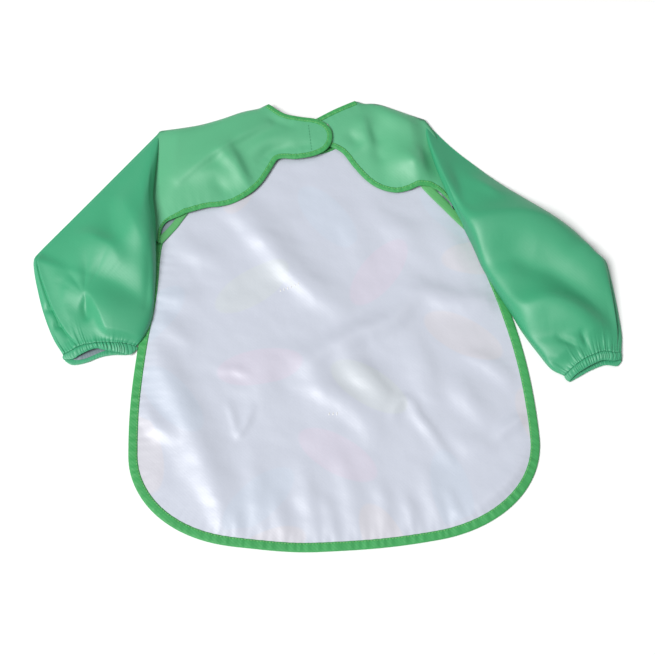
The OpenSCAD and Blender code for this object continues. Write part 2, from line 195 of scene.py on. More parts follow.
def nearest_on(path, x, y):
    """Distance to a path and the run along it of the nearest point."""
    run = run_along(path)
    best = np.full(len(x), 1e9)
    where = np.zeros(len(x))
    for p, q, r in zip(path[:-1], path[1:], run):
        d = q - p
        size = np.linalg.norm(d)
        t = np.clip(((x - p[0]) * d[0] + (y - p[1]) * d[1]) / size**2, 0, 1)
        gap = np.hypot(x - p[0] - t * d[0], y - p[1] - t * d[1])
        closer = gap < best
        best = np.where(closer, gap, best)
        where = np.where(closer, r + t * size, where)
    return best, where


def uneven_wave(run, pitch, seed):
    """A wave of about the given pitch whose crests are uneven in height and spacing."""
    rng = np.random.default_rng(seed)
    shift = rng.uniform(0, 2 * math.pi, 4)
    turn = 2 * math.pi * run / pitch
    drift = 1.4 * np.sin(turn / 7.3 + shift[0]) + 0.9 * np.sin(turn / 3.1 + shift[1])
    size = 0.62 + 0.38 * np.sin(turn / 5.2 + shift[2]) * np.sin(turn / 2.3 + shift[3])
    return size * np.cos(turn + drift)


# Meshes

# Height of an equal-sided triangle, and the least gap in millimetres between a piece and the table.
TRIANGLE_HEIGHT = 0.866
TABLE_GAP = 0.03

# Round a folded tape's section: share of its width, extra millimetres, and share of its half thickness.
TAPE_SECTION = [(1, 0, 0.25), (1, -0.25, 0.85), (0.7, 0, 1.0), (0.4, 0, 1.05), (0, 1.4, 1.0),
                (0, 0.3, 0.8), (0, -0.35, 0.42), (0, -0.55, 0), (0, -0.35, -0.42), (0, 0.3, -0.8),
                (0, 1.4, -1.0), (0.6, 0, -1.0), (1, -0.25, -0.85), (1, 0, -0.25)]


def inside(outline, x, y):
    """Which plan points lie inside a closed outline."""
    odd = np.zeros(len(x), bool)
    for (x0, y0), (x1, y1) in zip(outline, np.roll(outline, -1, axis=0)):
        if y0 == y1:
            continue
        crosses = ((y0 > y) != (y1 > y)) & (x < (x1 - x0) * (y - y0) / (y1 - y0) + x0)
        odd ^= crosses
    return odd


def flat_cut(outline, spacing):
    """Plan points and triangles of a piece of cloth cut to an outline."""
    edge = even(np.vstack([outline, outline[:1]]), int(path_length(outline) / spacing) + 2)[:-1]
    low, high = edge.min(axis=0), edge.max(axis=0)
    grid = []
    for k, y in enumerate(np.arange(low[1], high[1], spacing * TRIANGLE_HEIGHT)):
        x = np.arange(low[0] + (k % 2) * spacing / 2, high[0], spacing)
        grid.append(np.column_stack([x, np.full_like(x, y)]))
    grid = np.vstack(grid)
    grid = grid[inside(edge, grid[:, 0], grid[:, 1])]
    gap, _ = nearest_on(np.vstack([edge, edge[:1]]), grid[:, 0], grid[:, 1])
    grid = grid[gap > 0.55 * spacing]
    points = np.vstack([edge, grid])
    n = len(edge)
    border = [(k, (k + 1) % n) for k in range(n)]
    made = geometry.delaunay_2d_cdt([Vector(p) for p in points], border, [], 1, 1e-4)
    return np.array([list(v) for v in made[0]]), [tuple(f) for f in made[2]]


def point_normals(verts, faces):
    """Unit normals at the points of a mesh of triangles or quads."""
    tri = np.array([f[:3] for f in faces])
    a, b, c = (verts[tri[:, k]] for k in range(3))
    n = np.cross(b - a, c - a)
    out = np.zeros_like(verts)
    for k in range(3):
        np.add.at(out, tri[:, k], n)
    size = np.linalg.norm(out, axis=1)
    return out / np.maximum(size, 1e-9)[:, None]


def open_edges(faces):
    """Edges that only one face uses, in that face's direction."""
    seen = set()
    for f in faces:
        seen.update(zip(f, f[1:] + f[:1]))
    return [e for e in seen if (e[1], e[0]) not in seen]


def two_faced(verts, faces, thickness):
    """Cloth with a right side, a wrong side and a rim. Slots: 0 right side, 1 wrong side."""
    out = point_normals(verts, faces)
    n = len(verts)
    both = np.vstack([verts + out * thickness / 2, verts - out * thickness / 2])
    back = [tuple(k + n for k in reversed(f)) for f in faces]
    rim = [(b, a, a + n, b + n) for a, b in sorted(open_edges(faces))]
    slots = [0] * len(faces) + [1] * len(back) + [0] * len(rim)
    return both, list(faces) + back + rim, slots


def ring_faces(rings, count, side="right"):
    """Quads between rings of points, turned over on the left, where the rings run the other way."""
    faces = []
    for r in range(rings - 1):
        for k in range(count):
            a, b = r * count + k, r * count + (k + 1) % count
            faces.append((a, b, b + count, a + count))
    return [tuple(reversed(f)) for f in faces] if side == "left" else faces


def add_piece(name, verts, faces, materials, slots=None):
    """A smooth-shaded mesh object from millimetres, with its place in plan as UV in metres."""
    verts = np.asarray(verts, float)
    verts[:, 2] = np.maximum(verts[:, 2], TABLE_GAP)
    mesh = bpy.data.meshes.new(name)
    mesh.from_pydata((verts * MM).tolist(), [], faces)
    for material in materials:
        mesh.materials.append(material)
    if slots is not None:
        mesh.polygons.foreach_set("material_index", np.asarray(slots, np.int32))
    mesh.polygons.foreach_set("use_smooth", np.ones(len(mesh.polygons), bool))
    flat = verts[:, :2] * MM
    corners = np.empty(len(mesh.loops), np.int32)
    mesh.loops.foreach_get("vertex_index", corners)
    layer = mesh.uv_layers.new(name="flat_cut")
    layer.data.foreach_set("uv", flat[corners].astype(np.float32).ravel())
    mesh.update()
    piece = bpy.data.objects.new(name, mesh)
    bpy.context.scene.collection.objects.link(piece)
    return piece


def cloth_piece(name, outline, height, materials, spacing, thickness):
    """A piece of cloth cut to an outline, lying at the given height."""
    flat, faces = flat_cut(outline, spacing)
    z = height(flat[:, 0], flat[:, 1])
    verts, faces, slots = two_faced(np.column_stack([flat, z]), faces, thickness)
    return add_piece(name, verts, faces, materials, slots if len(materials) > 1 else None)


def folded_tape(path, inward, height, width, seed, half=0.85):
    """Tape folded over a cloth's edge: points in rows across it, and its faces."""
    width = np.broadcast_to(np.asarray(width, float), (len(path),))
    run = np.linspace(0, path_length(path), len(path))
    ripple = 0.06 * uneven_wave(run, 6.5, seed)
    rows = []
    for share, extra, k in TAPE_SECTION:
        depth = share * width + extra
        p = path + inward * depth[:, None]
        q = path + inward * np.maximum(depth, 0)[:, None]
        z = height(q[:, 0], q[:, 1]) + k * half
        if k > 0:
            z = z + ripple * depth / width
        rows.append(np.column_stack([p, z]))
    count = len(rows)
    verts = np.stack(rows, axis=1).reshape(-1, 3)
    faces = ring_faces(len(path), count)
    last = (len(path) - 1) * count
    faces.append(tuple(range(count - 1, -1, -1)))
    faces.append(tuple(last + k for k in range(count)))
    return verts, faces


def stitches(points, length, width, depth):
    """Raised sewing stitches laid end to end along points of a line."""
    verts, faces = [], []
    for a, b in zip(points[:-1], points[1:]):
        along = (b - a) / max(np.linalg.norm(b - a), 1e-9)
        mid = (a + b) / 2
        side = np.cross(UP, along)
        base = len(verts)
        verts.append(mid - along * length / 2 - UP * depth * 0.4)
        for share in (-0.26, 0.26):
            for s, h in ((1, -0.1), (0.55, 0.75), (-0.55, 0.75), (-1, -0.1)):
                verts.append(mid + along * length * share + side * width / 2 * s + UP * depth * h)
        verts.append(mid + along * length / 2 - UP * depth * 0.4)
        for j in range(3):
            faces.append((base, base + 2 + j, base + 1 + j))
            faces.append((base + 1 + j, base + 2 + j, base + 6 + j, base + 5 + j))
            faces.append((base + 9, base + 5 + j, base + 6 + j))
    return np.array(verts), faces


def stitch_line(path, height, pitch, lift):
    """Stitch ends along a plan path, lifted off the height there."""
    at = even(path, max(3, int(path_length(path) / pitch)))
    return np.column_stack([at, height(at[:, 0], at[:, 1]) + lift])


# Outlines of the smock as it lies, in plan millimetres

# The underarm point from the hem's middle, the neckline's half width and depth, and the panel's length.
ARM_X, ARM_Y = 160, 331
NECK_HALF, NECK_DEPTH, PANEL_LENGTH = 46, 55, 482
NECK = {side: plan_mm(JOINTS[side + "_flap_open"]["pos_m"]) for side in SIDES}


def panel_side():
    """Right side, corner and hem of the panel, from the underarm point to the hem's middle."""
    under, widest, corner, mid = (ARM_X, ARM_Y), (200, 102), (95, 5.5), (0, 0)
    return np.vstack([
        swept_curve(under, -75, widest, -90),
        swept_curve(widest, -90, corner, -173)[1:],
        swept_curve(corner, -173, mid, -180)[1:],
    ])


def drawn_in(half, share, lift, top):
    """Half of the panel's edge, as its folds draw it in below the arm and the sleeve pulls at its top."""
    x, y = half.T
    low = ease((ARM_Y - y) / 150)
    wide = x * (1 - share * low) + top * (1 - ease((ARM_Y - y) / 75))
    return np.column_stack([wide, y + lift * ease((x - 20) / 90) * ease((120 - y) / 60)])


RIGHT_HALF = drawn_in(panel_side(), -0.007, 0, 0)
LEFT_HALF = drawn_in(panel_side(), 0.022, 3.5, 5.5) * [-1, 1]
PANEL_EDGE = even(np.vstack([RIGHT_HALF, LEFT_HALF[::-1][1:]]) + [MID_X, HEM_Y], 620)
NECKLINE = np.array([
    [MID_X - NECK_HALF * math.cos(a), HEM_Y + PANEL_LENGTH - NECK_DEPTH * math.sin(a)]
    for a in np.linspace(0, math.pi, 90)
])
PANEL_OUTLINE = np.vstack([PANEL_EDGE, NECKLINE])

FLAP_EDGE = {
    "left": through([NECK["left"], (-30, 229), (-14, 224), (3, 220.5), (12, 216), (17.5, 210), (20, 202),
                     (18.5, 192), (13, 184), (4, 179), (-6, 176.5), (-20, 175.5), (-32, 177),
                     (-39, 175.5), (-44.5, 167), (-55, 151), (-67, 139), (-85, 128.5), (-100, 125),
                     (-114, 124), (-135, 119)], 400),
    "right": through([NECK["right"], (25, 232), (8, 223.5), (-6, 216), (-12, 206), (-6, 197.5), (8, 193),
                      (21, 187.5), (31, 180), (41, 164), (53, 148), (66, 137.5), (82, 132), (96, 133.5),
                      (108, 137.5), (119, 137)], 360),
}
FREE_EDGE = {
    "left": through([(-135, 119), (-141, 116), (-148, 113.5), (-155, 110.5), (-160, 104), (-162, 95),
                     (-161.5, 87)], 60),
    "right": through([(119, 137), (128, 131), (136, 121), (146, 108)], 60),
}
BACK_EDGE = {k: np.vstack([FLAP_EDGE[k], FREE_EDGE[k][1:]]) for k in SIDES}
SHOULDER_FOLD = {
    "left": through([NECK["left"], (-55, 239.5), (-74, 236), (-95, 229), (-118, 223), (-140, 220),
                     (-161, 218)], 160),
    "right": through([NECK["right"], (56, 239.5), (67, 239), (77, 236), (90, 230), (105, 223),
                      (119.5, 216.5)], 140),
}
TUCK = {
    "left": through([(-161.5, 87), (-172, 96), (-177, 130), (-175, 165), (-169, 198), (-161, 218)], 90),
    "right": through([(146, 108), (152, 106), (146, 132), (139, 160), (130, 195), (119.5, 216.5)], 90),
}
BACK_OUTLINE = {
    k: np.vstack([BACK_EDGE[k], TUCK[k][1:], SHOULDER_FOLD[k][::-1][1:-1]]) for k in SIDES
}
RAGLAN = {
    "left": through([NECK["left"] + [-5, -7], (-92, 180), (-136, 119.5), (-147, 104), (-162, 88)], 140),
    "right": through([NECK["right"] + [5, -7], (84, 188), (104, 155), (117, 135), (133, 114.5),
                      (148.5, 95), (158, 84)], 140),
}
HEAD_LINE = {
    "left": through([(-161, 217.5), (-164, 190), (-167.5, 160), (-169, 138), (-167, 115),
                     (-166, 92)], 200),
    "right": through([(119, 216), (121, 190), (126.5, 158), (132.5, 135), (139, 114), (149, 88)], 200),
}
SLEEVE_OUTER = {
    "left": through([(-161, 217.5), (-186, 190.5), (-218, 156), (-252, 119.5), (-286, 83), (-290.5, 75),
                     (-290, 64), (-287, 47), (-280, 18), (-270, -10), (-259, -30)], 300),
    "right": through([(119, 216), (133, 197), (149, 178), (173.5, 154), (198.5, 131), (227, 107),
                      (258, 80), (282, 53.5), (289.5, 45), (292, 36), (294.5, 9), (296, -19), (296, -39),
                      (293, -57)], 300),
}
SLEEVE_INNER = {
    "left": through([(-166, 92), (-166.5, 55), (-169, 19), (-172, 1), (-179, -15), (-187.5, -25)], 300),
    "right": through([(149, 88), (157, 65), (164, 42), (173, 21), (180, 6), (189, -12), (198, -31),
                      (211, -53), (222, -70), (234, -78.5)], 300),
}
CUFF_LINES = {
    "left": {
        "seam_top": [(-259, -30), (-251, -27), (-244, -24), (-236, -22), (-222, -21), (-209, -21.5),
                     (-196, -22.5), (-187.5, -25)],
        "lip_top": [(-257, -35), (-249, -35.5), (-240, -31), (-227, -26.5), (-217, -29), (-203, -32),
                    (-193, -34), (-187.5, -29)],
        "seam_low": [(-259, -30), (-253, -33), (-246, -36), (-236, -34.5), (-222, -29), (-208, -25),
                     (-196, -24), (-187.5, -25)],
        "lip_low": [(-259, -33.5), (-254, -39), (-248, -41), (-236, -39), (-222, -34), (-209, -32.5),
                    (-196, -33), (-187.5, -29)],
    },
    "right": {
        "seam_top": [(293, -57), (286, -58), (275, -57), (264, -60.5), (255, -64), (243, -71.5),
                     (234, -78.5)],
        "lip_top": [(291, -65), (284, -66.5), (273, -66), (262, -70), (252, -75), (245, -79), (239, -84)],
        "seam_low": [(293, -57), (286, -60), (275, -60), (264, -63), (254, -68), (244, -74),
                     (234, -78.5)],
        "lip_low": [(292, -67), (287, -71), (275, -69.5), (260, -74.5), (251, -79), (245, -82),
                    (239, -85)],
    },
}


# Heights of the cloth as it lies, in millimetres above the table

# Each fold is its line, the widths to the line's left and right, and its height. The line runs along the
# fold's west flank, which is the bright one.
PANEL_FOLDS = [
    ([(-95, 122), (-78, 99), (-58, 72), (-37, 42), (-13, 17), (10, 0)], 19, 13, 5.4),
    ([(-16, -42), (4, -28), (28, -17), (58, -8), (74, 5), (86, 22)], 13, 13, 5.2),
    ([(92, 14), (108, 6), (128, -2), (150, -4), (176, -6)], 15, 13, 4.6),
    ([(-184, -22), (-174, -42), (-157, -86), (-143, -120), (-134, -147), (-122, -170),
      (-104, -196)], 17, 17, 5.4),
    ([(-192, -92), (-183, -98), (-170, -116), (-156, -128)], 11, 9, 3.4),
    ([(-66, -36), (-70, -60), (-74, -90)], 16, 16, 2.2),
    ([(-40, -46), (-22, -66), (-10, -90)], 17, 16, 3.2),
    ([(14, -48), (28, -68), (52, -99)], 13, 14, 4.2),
    ([(-10, -82), (2, -92), (16, -103), (38, -128)], 13, 13, 3.4),
    ([(60, -116), (63, -106), (72, -96), (80, -102), (86, -116), (97, -133), (112, -162)], 5, 7, 1.9),
    ([(116, -80), (128, -96), (146, -122)], 12, 12, 2.8),
    ([(140, -56), (156, -66), (178, -84)], 10, 9, 2.4),
    ([(160, -132), (172, -124), (192, -114)], 8, 8, 3.0),
    ([(118, -140), (132, -150), (150, -152)], 13, 11, 2.0),
    ([(120, -208), (150, -190), (176, -170), (190, -150)], 14, 12, 4.0),
    ([(-104, -58), (-92, -58), (-78, -63)], 6, 5, 1.4),
    ([(-100, -90), (-95, -108), (-92, -122)], 4.5, 4, 1.3),
    ([(-76, -94), (-83, -110), (-91, -123)], 4, 4.5, 1.5),
    ([(-150, 86), (-128, 68), (-108, 58)], 12, 11, 2.2),
    ([(-168, 26), (-150, 18), (-128, 20)], 11, 10, 2.0),
    ([(-172, 2), (-156, -14), (-136, -30)], 11, 10, 2.8),
    ([(52, 104), (78, 80), (102, 50)], 17, 15, 2.8),
    ([(14, 116), (28, 82), (36, 50)], 15, 14, 1.6),
    ([(112, 92), (126, 66), (136, 40)], 14, 12, 1.8),
    ([(80, -30), (88, -60), (96, -96)], 13, 14, 2.2),
    ([(-82, -140), (-80, -170), (-77, -218)], 11, 10, 1.8),
    ([(-126, -172), (-116, -192), (-112, -222)], 10, 9, 1.8),
    ([(-98, -200), (-96, -214), (-97, -228)], 6, 6, 1.4),
    ([(-60, -186), (-57, -204), (-52, -228)], 8, 8, 1.8),
    ([(-34, -160), (-29, -190), (-24, -230)], 9, 9, 1.9),
    ([(-12, -190), (-8, -208), (-6, -230)], 6, 7, 1.4),
    ([(2, -150), (10, -184), (18, -228)], 10, 10, 2.0),
    ([(40, -178), (44, -200), (40, -228)], 8, 8, 1.7),
    ([(62, -190), (68, -206), (68, -227)], 7, 7, 1.6),
    ([(84, -170), (90, -194), (94, -225)], 9, 9, 1.9),
    ([(106, -190), (110, -204), (116, -222)], 6, 7, 1.6),
]


def on_crest(fold):
    """A fold with its line moved from its west flank onto its crest."""
    line, left_w, right_w, height = fold
    out = sideways(through(line, 60)).mean(axis=0)
    step = 0.3 * (left_w + right_w) * math.copysign(1, out[0]) / np.linalg.norm(out)
    return [tuple(np.array(p) + step * out) for p in line], left_w, right_w, height


def crumple(x, y):
    """Slack little waves in every direction, 15 to 55 mm from crest to crest."""
    z = np.zeros(len(x))
    for k in range(9):
        turn = 0.7 + 2.4 * k
        pitch = 15 + 5 * (7 * k % 9)
        u = x * math.cos(turn) + y * math.sin(turn)
        v = y * math.cos(turn) - x * math.sin(turn)
        z += 0.0026 * pitch * np.sin(FULL_TURN * u / pitch + k + 1.3 * np.sin(2.7 * v / pitch + 2 * k))
    return z


def panel_height(x, y):
    """Middle of the panel: soft folds, and puckers where the binding draws its edge in."""
    rest, least, gain = 1.2, 0.9, 1.15
    gap, run = nearest_on(PANEL_EDGE[::2], x, y)
    z = gain * fold_height(x, y, [on_crest(f) for f in PANEL_FOLDS]) * ease((gap - 1) / 20)
    z = z + (crumple(x, y) + 0.5) * ease((gap - 2) / 30)
    pinch = uneven_wave(run, 9.0, 3) * np.exp(-gap / 10.0)
    pinch = pinch + 0.5 * uneven_wave(run, 5.2, 9) * np.exp(-gap / 5.0)
    z = z + 1.1 * pinch * ease(gap / 3.0)
    for side in SIDES:
        edge_gap, _ = nearest_on(BACK_EDGE[side][::4], x, y)
        under = np.where(inside(BACK_OUTLINE[side][::3], x, y), edge_gap, -edge_gap)
        z = z * (1 - ease((under + 5) / 15))
    return np.maximum(z + rest, least)


# Places that each back layer passes through, as (x, y, height).
BACK_LAY = {
    "left": [(-45, 241, 8), (-100, 228, 8), (-160, 218, 7), (-166, 160, 8.5), (-162, 98, 4.6),
             (-135, 119, 5.4), (-110, 175, 12.5), (-70, 205, 11), (-90, 127, 5.2), (-55, 151, 5),
             (-40, 177, 6), (-14, 224, 8.2), (20, 202, 8.2), (0, 177.5, 7.4), (-20, 200, 9.6),
             (-120, 145, 8.5), (-75, 165, 8.5)],
    "right": [(47, 241, 6), (84, 233, 6.4), (120, 216, 6), (126, 170, 6.5), (146, 108, 4.4),
              (119, 137, 4), (95, 185, 10), (60, 200, 8), (84, 132, 3.9), (53, 148, 3.7), (31, 181, 4.2),
              (-6, 216, 5), (-12, 206, 4.8), (8, 193, 4.8), (20, 215, 6), (95, 152, 9.5),
              (103, 161, 15.5), (112, 148, 9.5), (60, 170, 6.5)],
}
BACK_PLATE = {k: smooth_surface(v) for k, v in BACK_LAY.items()}
BACK_FOLDS = {
    "left": [
        ([(-141, 154), (-118, 172), (-93, 190), (-70, 204), (-46, 217)], 14, 4, 3.8),
        ([(-90, 190), (-83, 177), (-77, 162), (-70, 148)], 6, 10, 5.2),
        ([(-98, 186), (-92, 177), (-88, 170)], 6, 8, 2.4),
        ([(-124, 160), (-104, 163), (-90, 158)], 9, 9, 2.2),
        ([(-104, 152), (-98, 146), (-94, 138)], 7, 7, -1.8),
        ([(-62, 186), (-48, 196), (-26, 202)], 8, 8, 2.0),
        ([(-58, 176), (-44, 186), (-24, 190)], 5, 5, -1.8),
        ([(-22, 186), (-12, 190), (-2, 190)], 4, 4, -1.2),
        ([(-50, 226), (-34, 218), (-20, 212)], 5, 5, -1.2),
    ],
    "right": [
        ([(75, 229), (83, 222), (92, 216), (103, 208), (115, 200)], 9, 13, 3.2),
        ([(53, 219), (57, 207), (60, 195), (60, 184)], 5, 9, 2.6),
        ([(66, 236), (70, 212), (72, 179), (74, 148)], 11, 10, -2.6),
        ([(60, 208), (63, 199), (65, 190)], 7, 6, -2.4),
        ([(38, 202), (43, 196), (48, 190)], 6, 6, -2.0),
        ([(63, 184), (66, 178), (70, 168)], 6, 6, -1.4),
        ([(96, 172), (104, 160), (110, 150)], 7, 7, 1.4),
    ],
}


# Height of the back beneath a sleeve's head, at its lowest and along its fold, and the run of its rise.
HEAD_LOW, BACK_LOW = 3.4, 3.2
FOLD_LOW = {"left": 2.6, "right": 2.2}
HEAD_REACH = {"left": 26, "right": 22}


def into_shoulder(side, x, y):
    """Distance sideways from the sleeve's head line, positive over the shoulder."""
    head = HEAD_LINE[side][::-1]
    return (x - np.interp(y, head[:, 1], head[:, 0])) * -SIGN[side]


def back_height(side, x, y):
    """Middle of the back layer: puffed over the shoulder, round at its fold, low by the sleeve's head."""
    z = BACK_PLATE[side](x, y) + fold_height(x, y, BACK_FOLDS[side])
    gap, run = nearest_on(BACK_EDGE[side][::2], x, y)
    z = z + 0.6 * uneven_wave(run, 8.0, 5 + SIGN[side]) * np.exp(-gap / 9.0) * ease(gap / 3.0)
    inward = into_shoulder(side, x, y)
    pocket = 0 if side == "left" else ease((188 - y) / 20)
    reach = HEAD_REACH[side] - 6 * pocket
    z = z - np.maximum(z - HEAD_LOW, 0) * (1 - ease((inward + 3 - 2 * pocket) / reach))
    z = np.maximum(z, BACK_LOW)
    into, along = nearest_on(SHOULDER_FOLD[side][::2], x, y)
    roundness = np.clip(1 - into / 13.0, 0, 1)
    sunk = ease((along + 2) / 14) * (1 - np.sqrt(np.clip(1 - roundness**2, 0, 1)))
    return z - (z - FOLD_LOW[side]) * sunk


def front_height(side, x, y):
    """The shoulder's front layer, flat on the table and rising to the fold."""
    into, _ = nearest_on(SHOULDER_FOLD[side][::3], x, y)
    return 1.7 + 0.8 * np.exp(-into / 5.0)


def back_surface(side, lift=0.0):
    """The height of one back layer, lifted by some millimetres."""
    return lambda x, y: back_height(side, x, y) + lift


def front_surface(side, lift=0.0):
    """The height of one shoulder's front layer, lifted by some millimetres."""
    return lambda x, y: front_height(side, x, y) + lift


# Points round a sleeve's ring and round a cuff's ring.
SLEEVE_RING, CUFF_RING = 400, 480

# Height of each sleeve down its length, as (share of the length, millimetres).
SLEEVE_PUFF = {
    "left": [(0, 12), (0.05, 16.5), (0.12, 19.5), (0.25, 20.5), (0.42, 18.5), (0.58, 15), (0.74, 14),
             (0.94, 9), (1, 7)],
    "right": [(0, 13), (0.05, 16), (0.12, 19), (0.25, 22), (0.42, 22.5), (0.62, 21), (0.82, 17),
              (0.94, 12), (1, 9)],
}
# How far the highest line of each sleeve lies toward its inner edge: 1 is the middle.
SLEEVE_LEAN = {
    "left": [(0, 1.4), (0.2, 1.6), (0.45, 1.6), (0.7, 1.9), (0.85, 1.7), (1, 1)],
    "right": [(0, 1.6), (0.15, 1.9), (0.28, 1.2), (0.42, 0.78), (0.6, 0.7), (0.8, 0.85), (1, 1)],
}
# Folds and valleys of the sleeves, listed as the panel's are.
SLEEVE_FOLDS = {
    "left": [
        ([(-176, 196), (-196, 168), (-218, 148)], 12, 14, -1.5),
        ([(-200, 134), (-187, 105), (-179, 84)], 14, 14, 4.4),
        ([(-211, 132), (-209, 115), (-209, 95)], 12, 11, -3.4),
        ([(-251, 101), (-237, 97), (-224, 88), (-211, 78), (-203, 63)], 10, 22, 5.2),
        ([(-234, 44), (-222, 44), (-207, 40), (-192, 29), (-178, 15)], 18, 24, -5.5),
        ([(-241, 25), (-237, 32), (-230, 27), (-222, 11), (-217, -2), (-211, -16)], 30, 6, 7.0),
        ([(-238, 22), (-237, 14), (-235, 5)], 5, 4, -2.6),
        ([(-283, 81), (-278, 68), (-269, 48)], 10, 6, 2.6),
        ([(-267, 52), (-269, 30), (-260, 8)], 8, 6, 1.7),
        ([(-256, 42), (-258, 22), (-246, -4)], 8, 6, 1.8),
        ([(-172, 78), (-173, 45), (-176, 14)], 4, 4, -1.0),
    ],
    "right": [
        ([(146, 157), (148, 132), (150, 113), (157, 102)], 9, 9, -3.0),
        ([(163, 143), (176, 129), (188, 117)], 10, 9, 3.2),
        ([(146, 84), (164, 86), (179, 88), (208, 90), (232, 86), (252, 70)], 15, 24, 6.5),
        ([(166, 42), (181, 46), (196, 46), (212, 37), (230, 30), (255, 9), (279, -20),
          (289, -38)], 20, 17, -9.0),
        ([(178, -2), (199, -9), (223, -6), (243, -11), (260, -20), (277, -33)], 15, 20, 8.5),
        ([(193, -37), (218, -39), (243, -37), (262, -44), (275, -58)], 9, 8, -2.5),
        ([(230, -42), (242, -48), (254, -54)], 4, 4.5, -3.0),
        ([(220, -63), (230, -68), (238, -71)], 3.5, 3.5, -2.2),
        ([(254, -38), (258, -50), (260, -62)], 3.5, 3.5, -2.6),
    ],
}
# How steeply each sleeve falls to its inner edge: less is steeper.
INNER_DOME = {"left": 0.4, "right": 0.3}
# Width of the flat lap along each sleeve's outer edge, the run of the step behind it, and the lap's dents.
FLANGE = {"left": 16.0, "right": 4.5}
LAP_STEP = 1.4
FLANGE_DENTS = [
    ([(-270, 22), (-276, 19)], 4.5, 4.5, 2.4),
    ([(-259, 4), (-267, 1)], 4.5, 4.5, 2.4),
    ([(-247, -18), (-256, -19)], 4.5, 4.5, 2.4),
]
# The sleeve's head: how far each ring leans over the shoulder, and its share of the height there.
HEAD_ROLL = [(-9, 0.08), (-5, 0.1), (-1.8, 0.2), (0.2, 0.36), (0.9, 0.55), (0.5, 0.74), (-1.0, 0.9)]
# How far the middle of each cuff's upper half stands above its ends.
CUFF_RISE = {"left": 6.4, "right": 7.2}
# Round a casing's section: share of the way from seam to lip, and millimetres away from its middle.
CASING_SECTION = [(0.0, -0.3), (0.06, 0.0), (0.16, 0.45), (0.3, 0.8), (0.5, 1.0), (0.7, 0.95),
                  (0.86, 0.7), (0.96, 0.3), (1.0, -0.2), (0.96, -0.7), (0.86, -0.95), (0.6, -1.1),
                  (0.3, -1.1), (0.02, -1.0)]
# The elastic's section in the same way, with its share of the gathers.
ELASTIC_SECTION = [(0.22, -0.55, 0.5), (0.22, 0.05, 0.7), (0.8, 0.05, 0.7), (0.8, -0.55, 0.5)]
# How much of each raglan tape's width lies flat; the left one is rolled under at the panel.
RAGLAN_SHARE = {"left": 0.78, "right": 1}
# Middle of the loop patch in plan, and the thickness of both patches.
LOOP_MID = np.array([9.3, 203.4])
PATCH_THICKNESS = 0.9


def sleeve_rest(x, y):
    """Lowest place of a sleeve, on table or panel, and the softer rise that its top side shows."""
    outline = PANEL_OUTLINE[::3]
    gap, _ = nearest_on(np.vstack([outline, outline[:1]]), x, y)
    over = inside(outline, x, y)
    low = 0.5 + 2.8 * np.where(over, 1.0, np.exp(-gap / 6.0))
    soft = 0.5 + 2.8 * (1 - ease((np.where(over, -gap, gap) + 25) / 70))
    return low, soft


# Settings


class SmockSizes(bpy.types.PropertyGroup):
    """Sizes of the cloth and the trims."""

    cloth_thickness: FloatProperty(
        name="Cloth thickness", description="Thickness of the coated cloth", default=0.0004, unit="LENGTH")
    cloth_grid: FloatProperty(
        name="Cloth grid", description="Spacing of the points that the cloth is made from", default=0.003,
        unit="LENGTH")
    binding_width: FloatProperty(
        name="Binding width", description="Folded width of the binding tape", default=0.0085, unit="LENGTH")
    flap_binding_width: FloatProperty(
        name="Flap binding width", description="Folded width of the tape round the flaps and the neckline",
        default=0.005, unit="LENGTH")
    raglan_width: FloatProperty(
        name="Raglan seam width", description="Width of the wrapped seam under each arm", default=0.009,
        unit="LENGTH")
    stitch_pitch: FloatProperty(
        name="Stitch pitch", description="Length from one topstitch to the next", default=0.0029,
        unit="LENGTH")
    cuff_gathers: IntProperty(
        name="Cuff gathers", description="Gathers round each elastic cuff", default=50, min=12, max=80)
    print_strength: FloatProperty(
        name="Print through the cloth", description="How much of the front's print shows inside",
        default=0.12, min=0, max=1, subtype="FACTOR")


class SmockColours(bpy.types.PropertyGroup):
    """Colours of the cloth and the trims, as sRGB hex."""

    sleeve: StringProperty(
        # Painted light: the backs take the sleeves' satin in a lighter colour, which stands for the broad
        # light falling on them.
        name="Sleeve cloth", description="Green satin of the sleeves", default="30A272")
    back: StringProperty(
        name="Back cloth", description="The same satin on the backs, painted lighter for the broad light falling on them",
        default="53B07F")
    # Partly painted shade: the coating is a real grey, but its colour is made darker and greener to stand
    # for the shade and green bounce light inside the sleeves and slits.
    lining: StringProperty(
        name="Coated inside", description="Grey coating inside the green cloth, darkened and tinted green as painted shade", default="7F9096")
    binding: StringProperty(name="Binding", description="Green binding tape", default="3F9F58")
    raglan: StringProperty(
        name="Raglan tape", description="Paler tape of the raglan seams", default="5BAB68")
    topstitch: StringProperty(name="Topstitch", description="Thread along the binding", default="76BD6E")
    seam: StringProperty(name="Seam thread", description="Thread of the tab", default="2F8A60")
    cuff_thread: StringProperty(
        name="Cuff thread", description="Thread round the cuffs", default="4BA57E")
    panel: StringProperty(name="Panel cloth", description="White satin of the panel", default="C4C9D6")
    print_rose: StringProperty(name="Print rose", description="Rose of the print", default="F0B9D3")
    print_leaf: StringProperty(name="Print leaf", description="Pale green of the print", default="D3DFB4")
    print_sky: StringProperty(name="Print sky", description="Pale blue of the print", default="B4D3E8")
    print_peach: StringProperty(name="Print peach", description="Peach of the print", default="F0CDB2")
    white: StringProperty(
        name="Patch white", description="Fastening patches and white thread", default="F4F4F1")
    elastic: StringProperty(name="Elastic", description="Covered cuff elastic", default="E8E2D2")
    floor: StringProperty(name="Floor", description="Studio floor", default="FBFBFB")


# Materials

# Scale of slanting bands 2.5 mm apart, for threads and ribs, and 2.2 mm apart, for a thread's plies.
CLOTH_BANDS = 176.844
PLY_BANDS = 198.9495


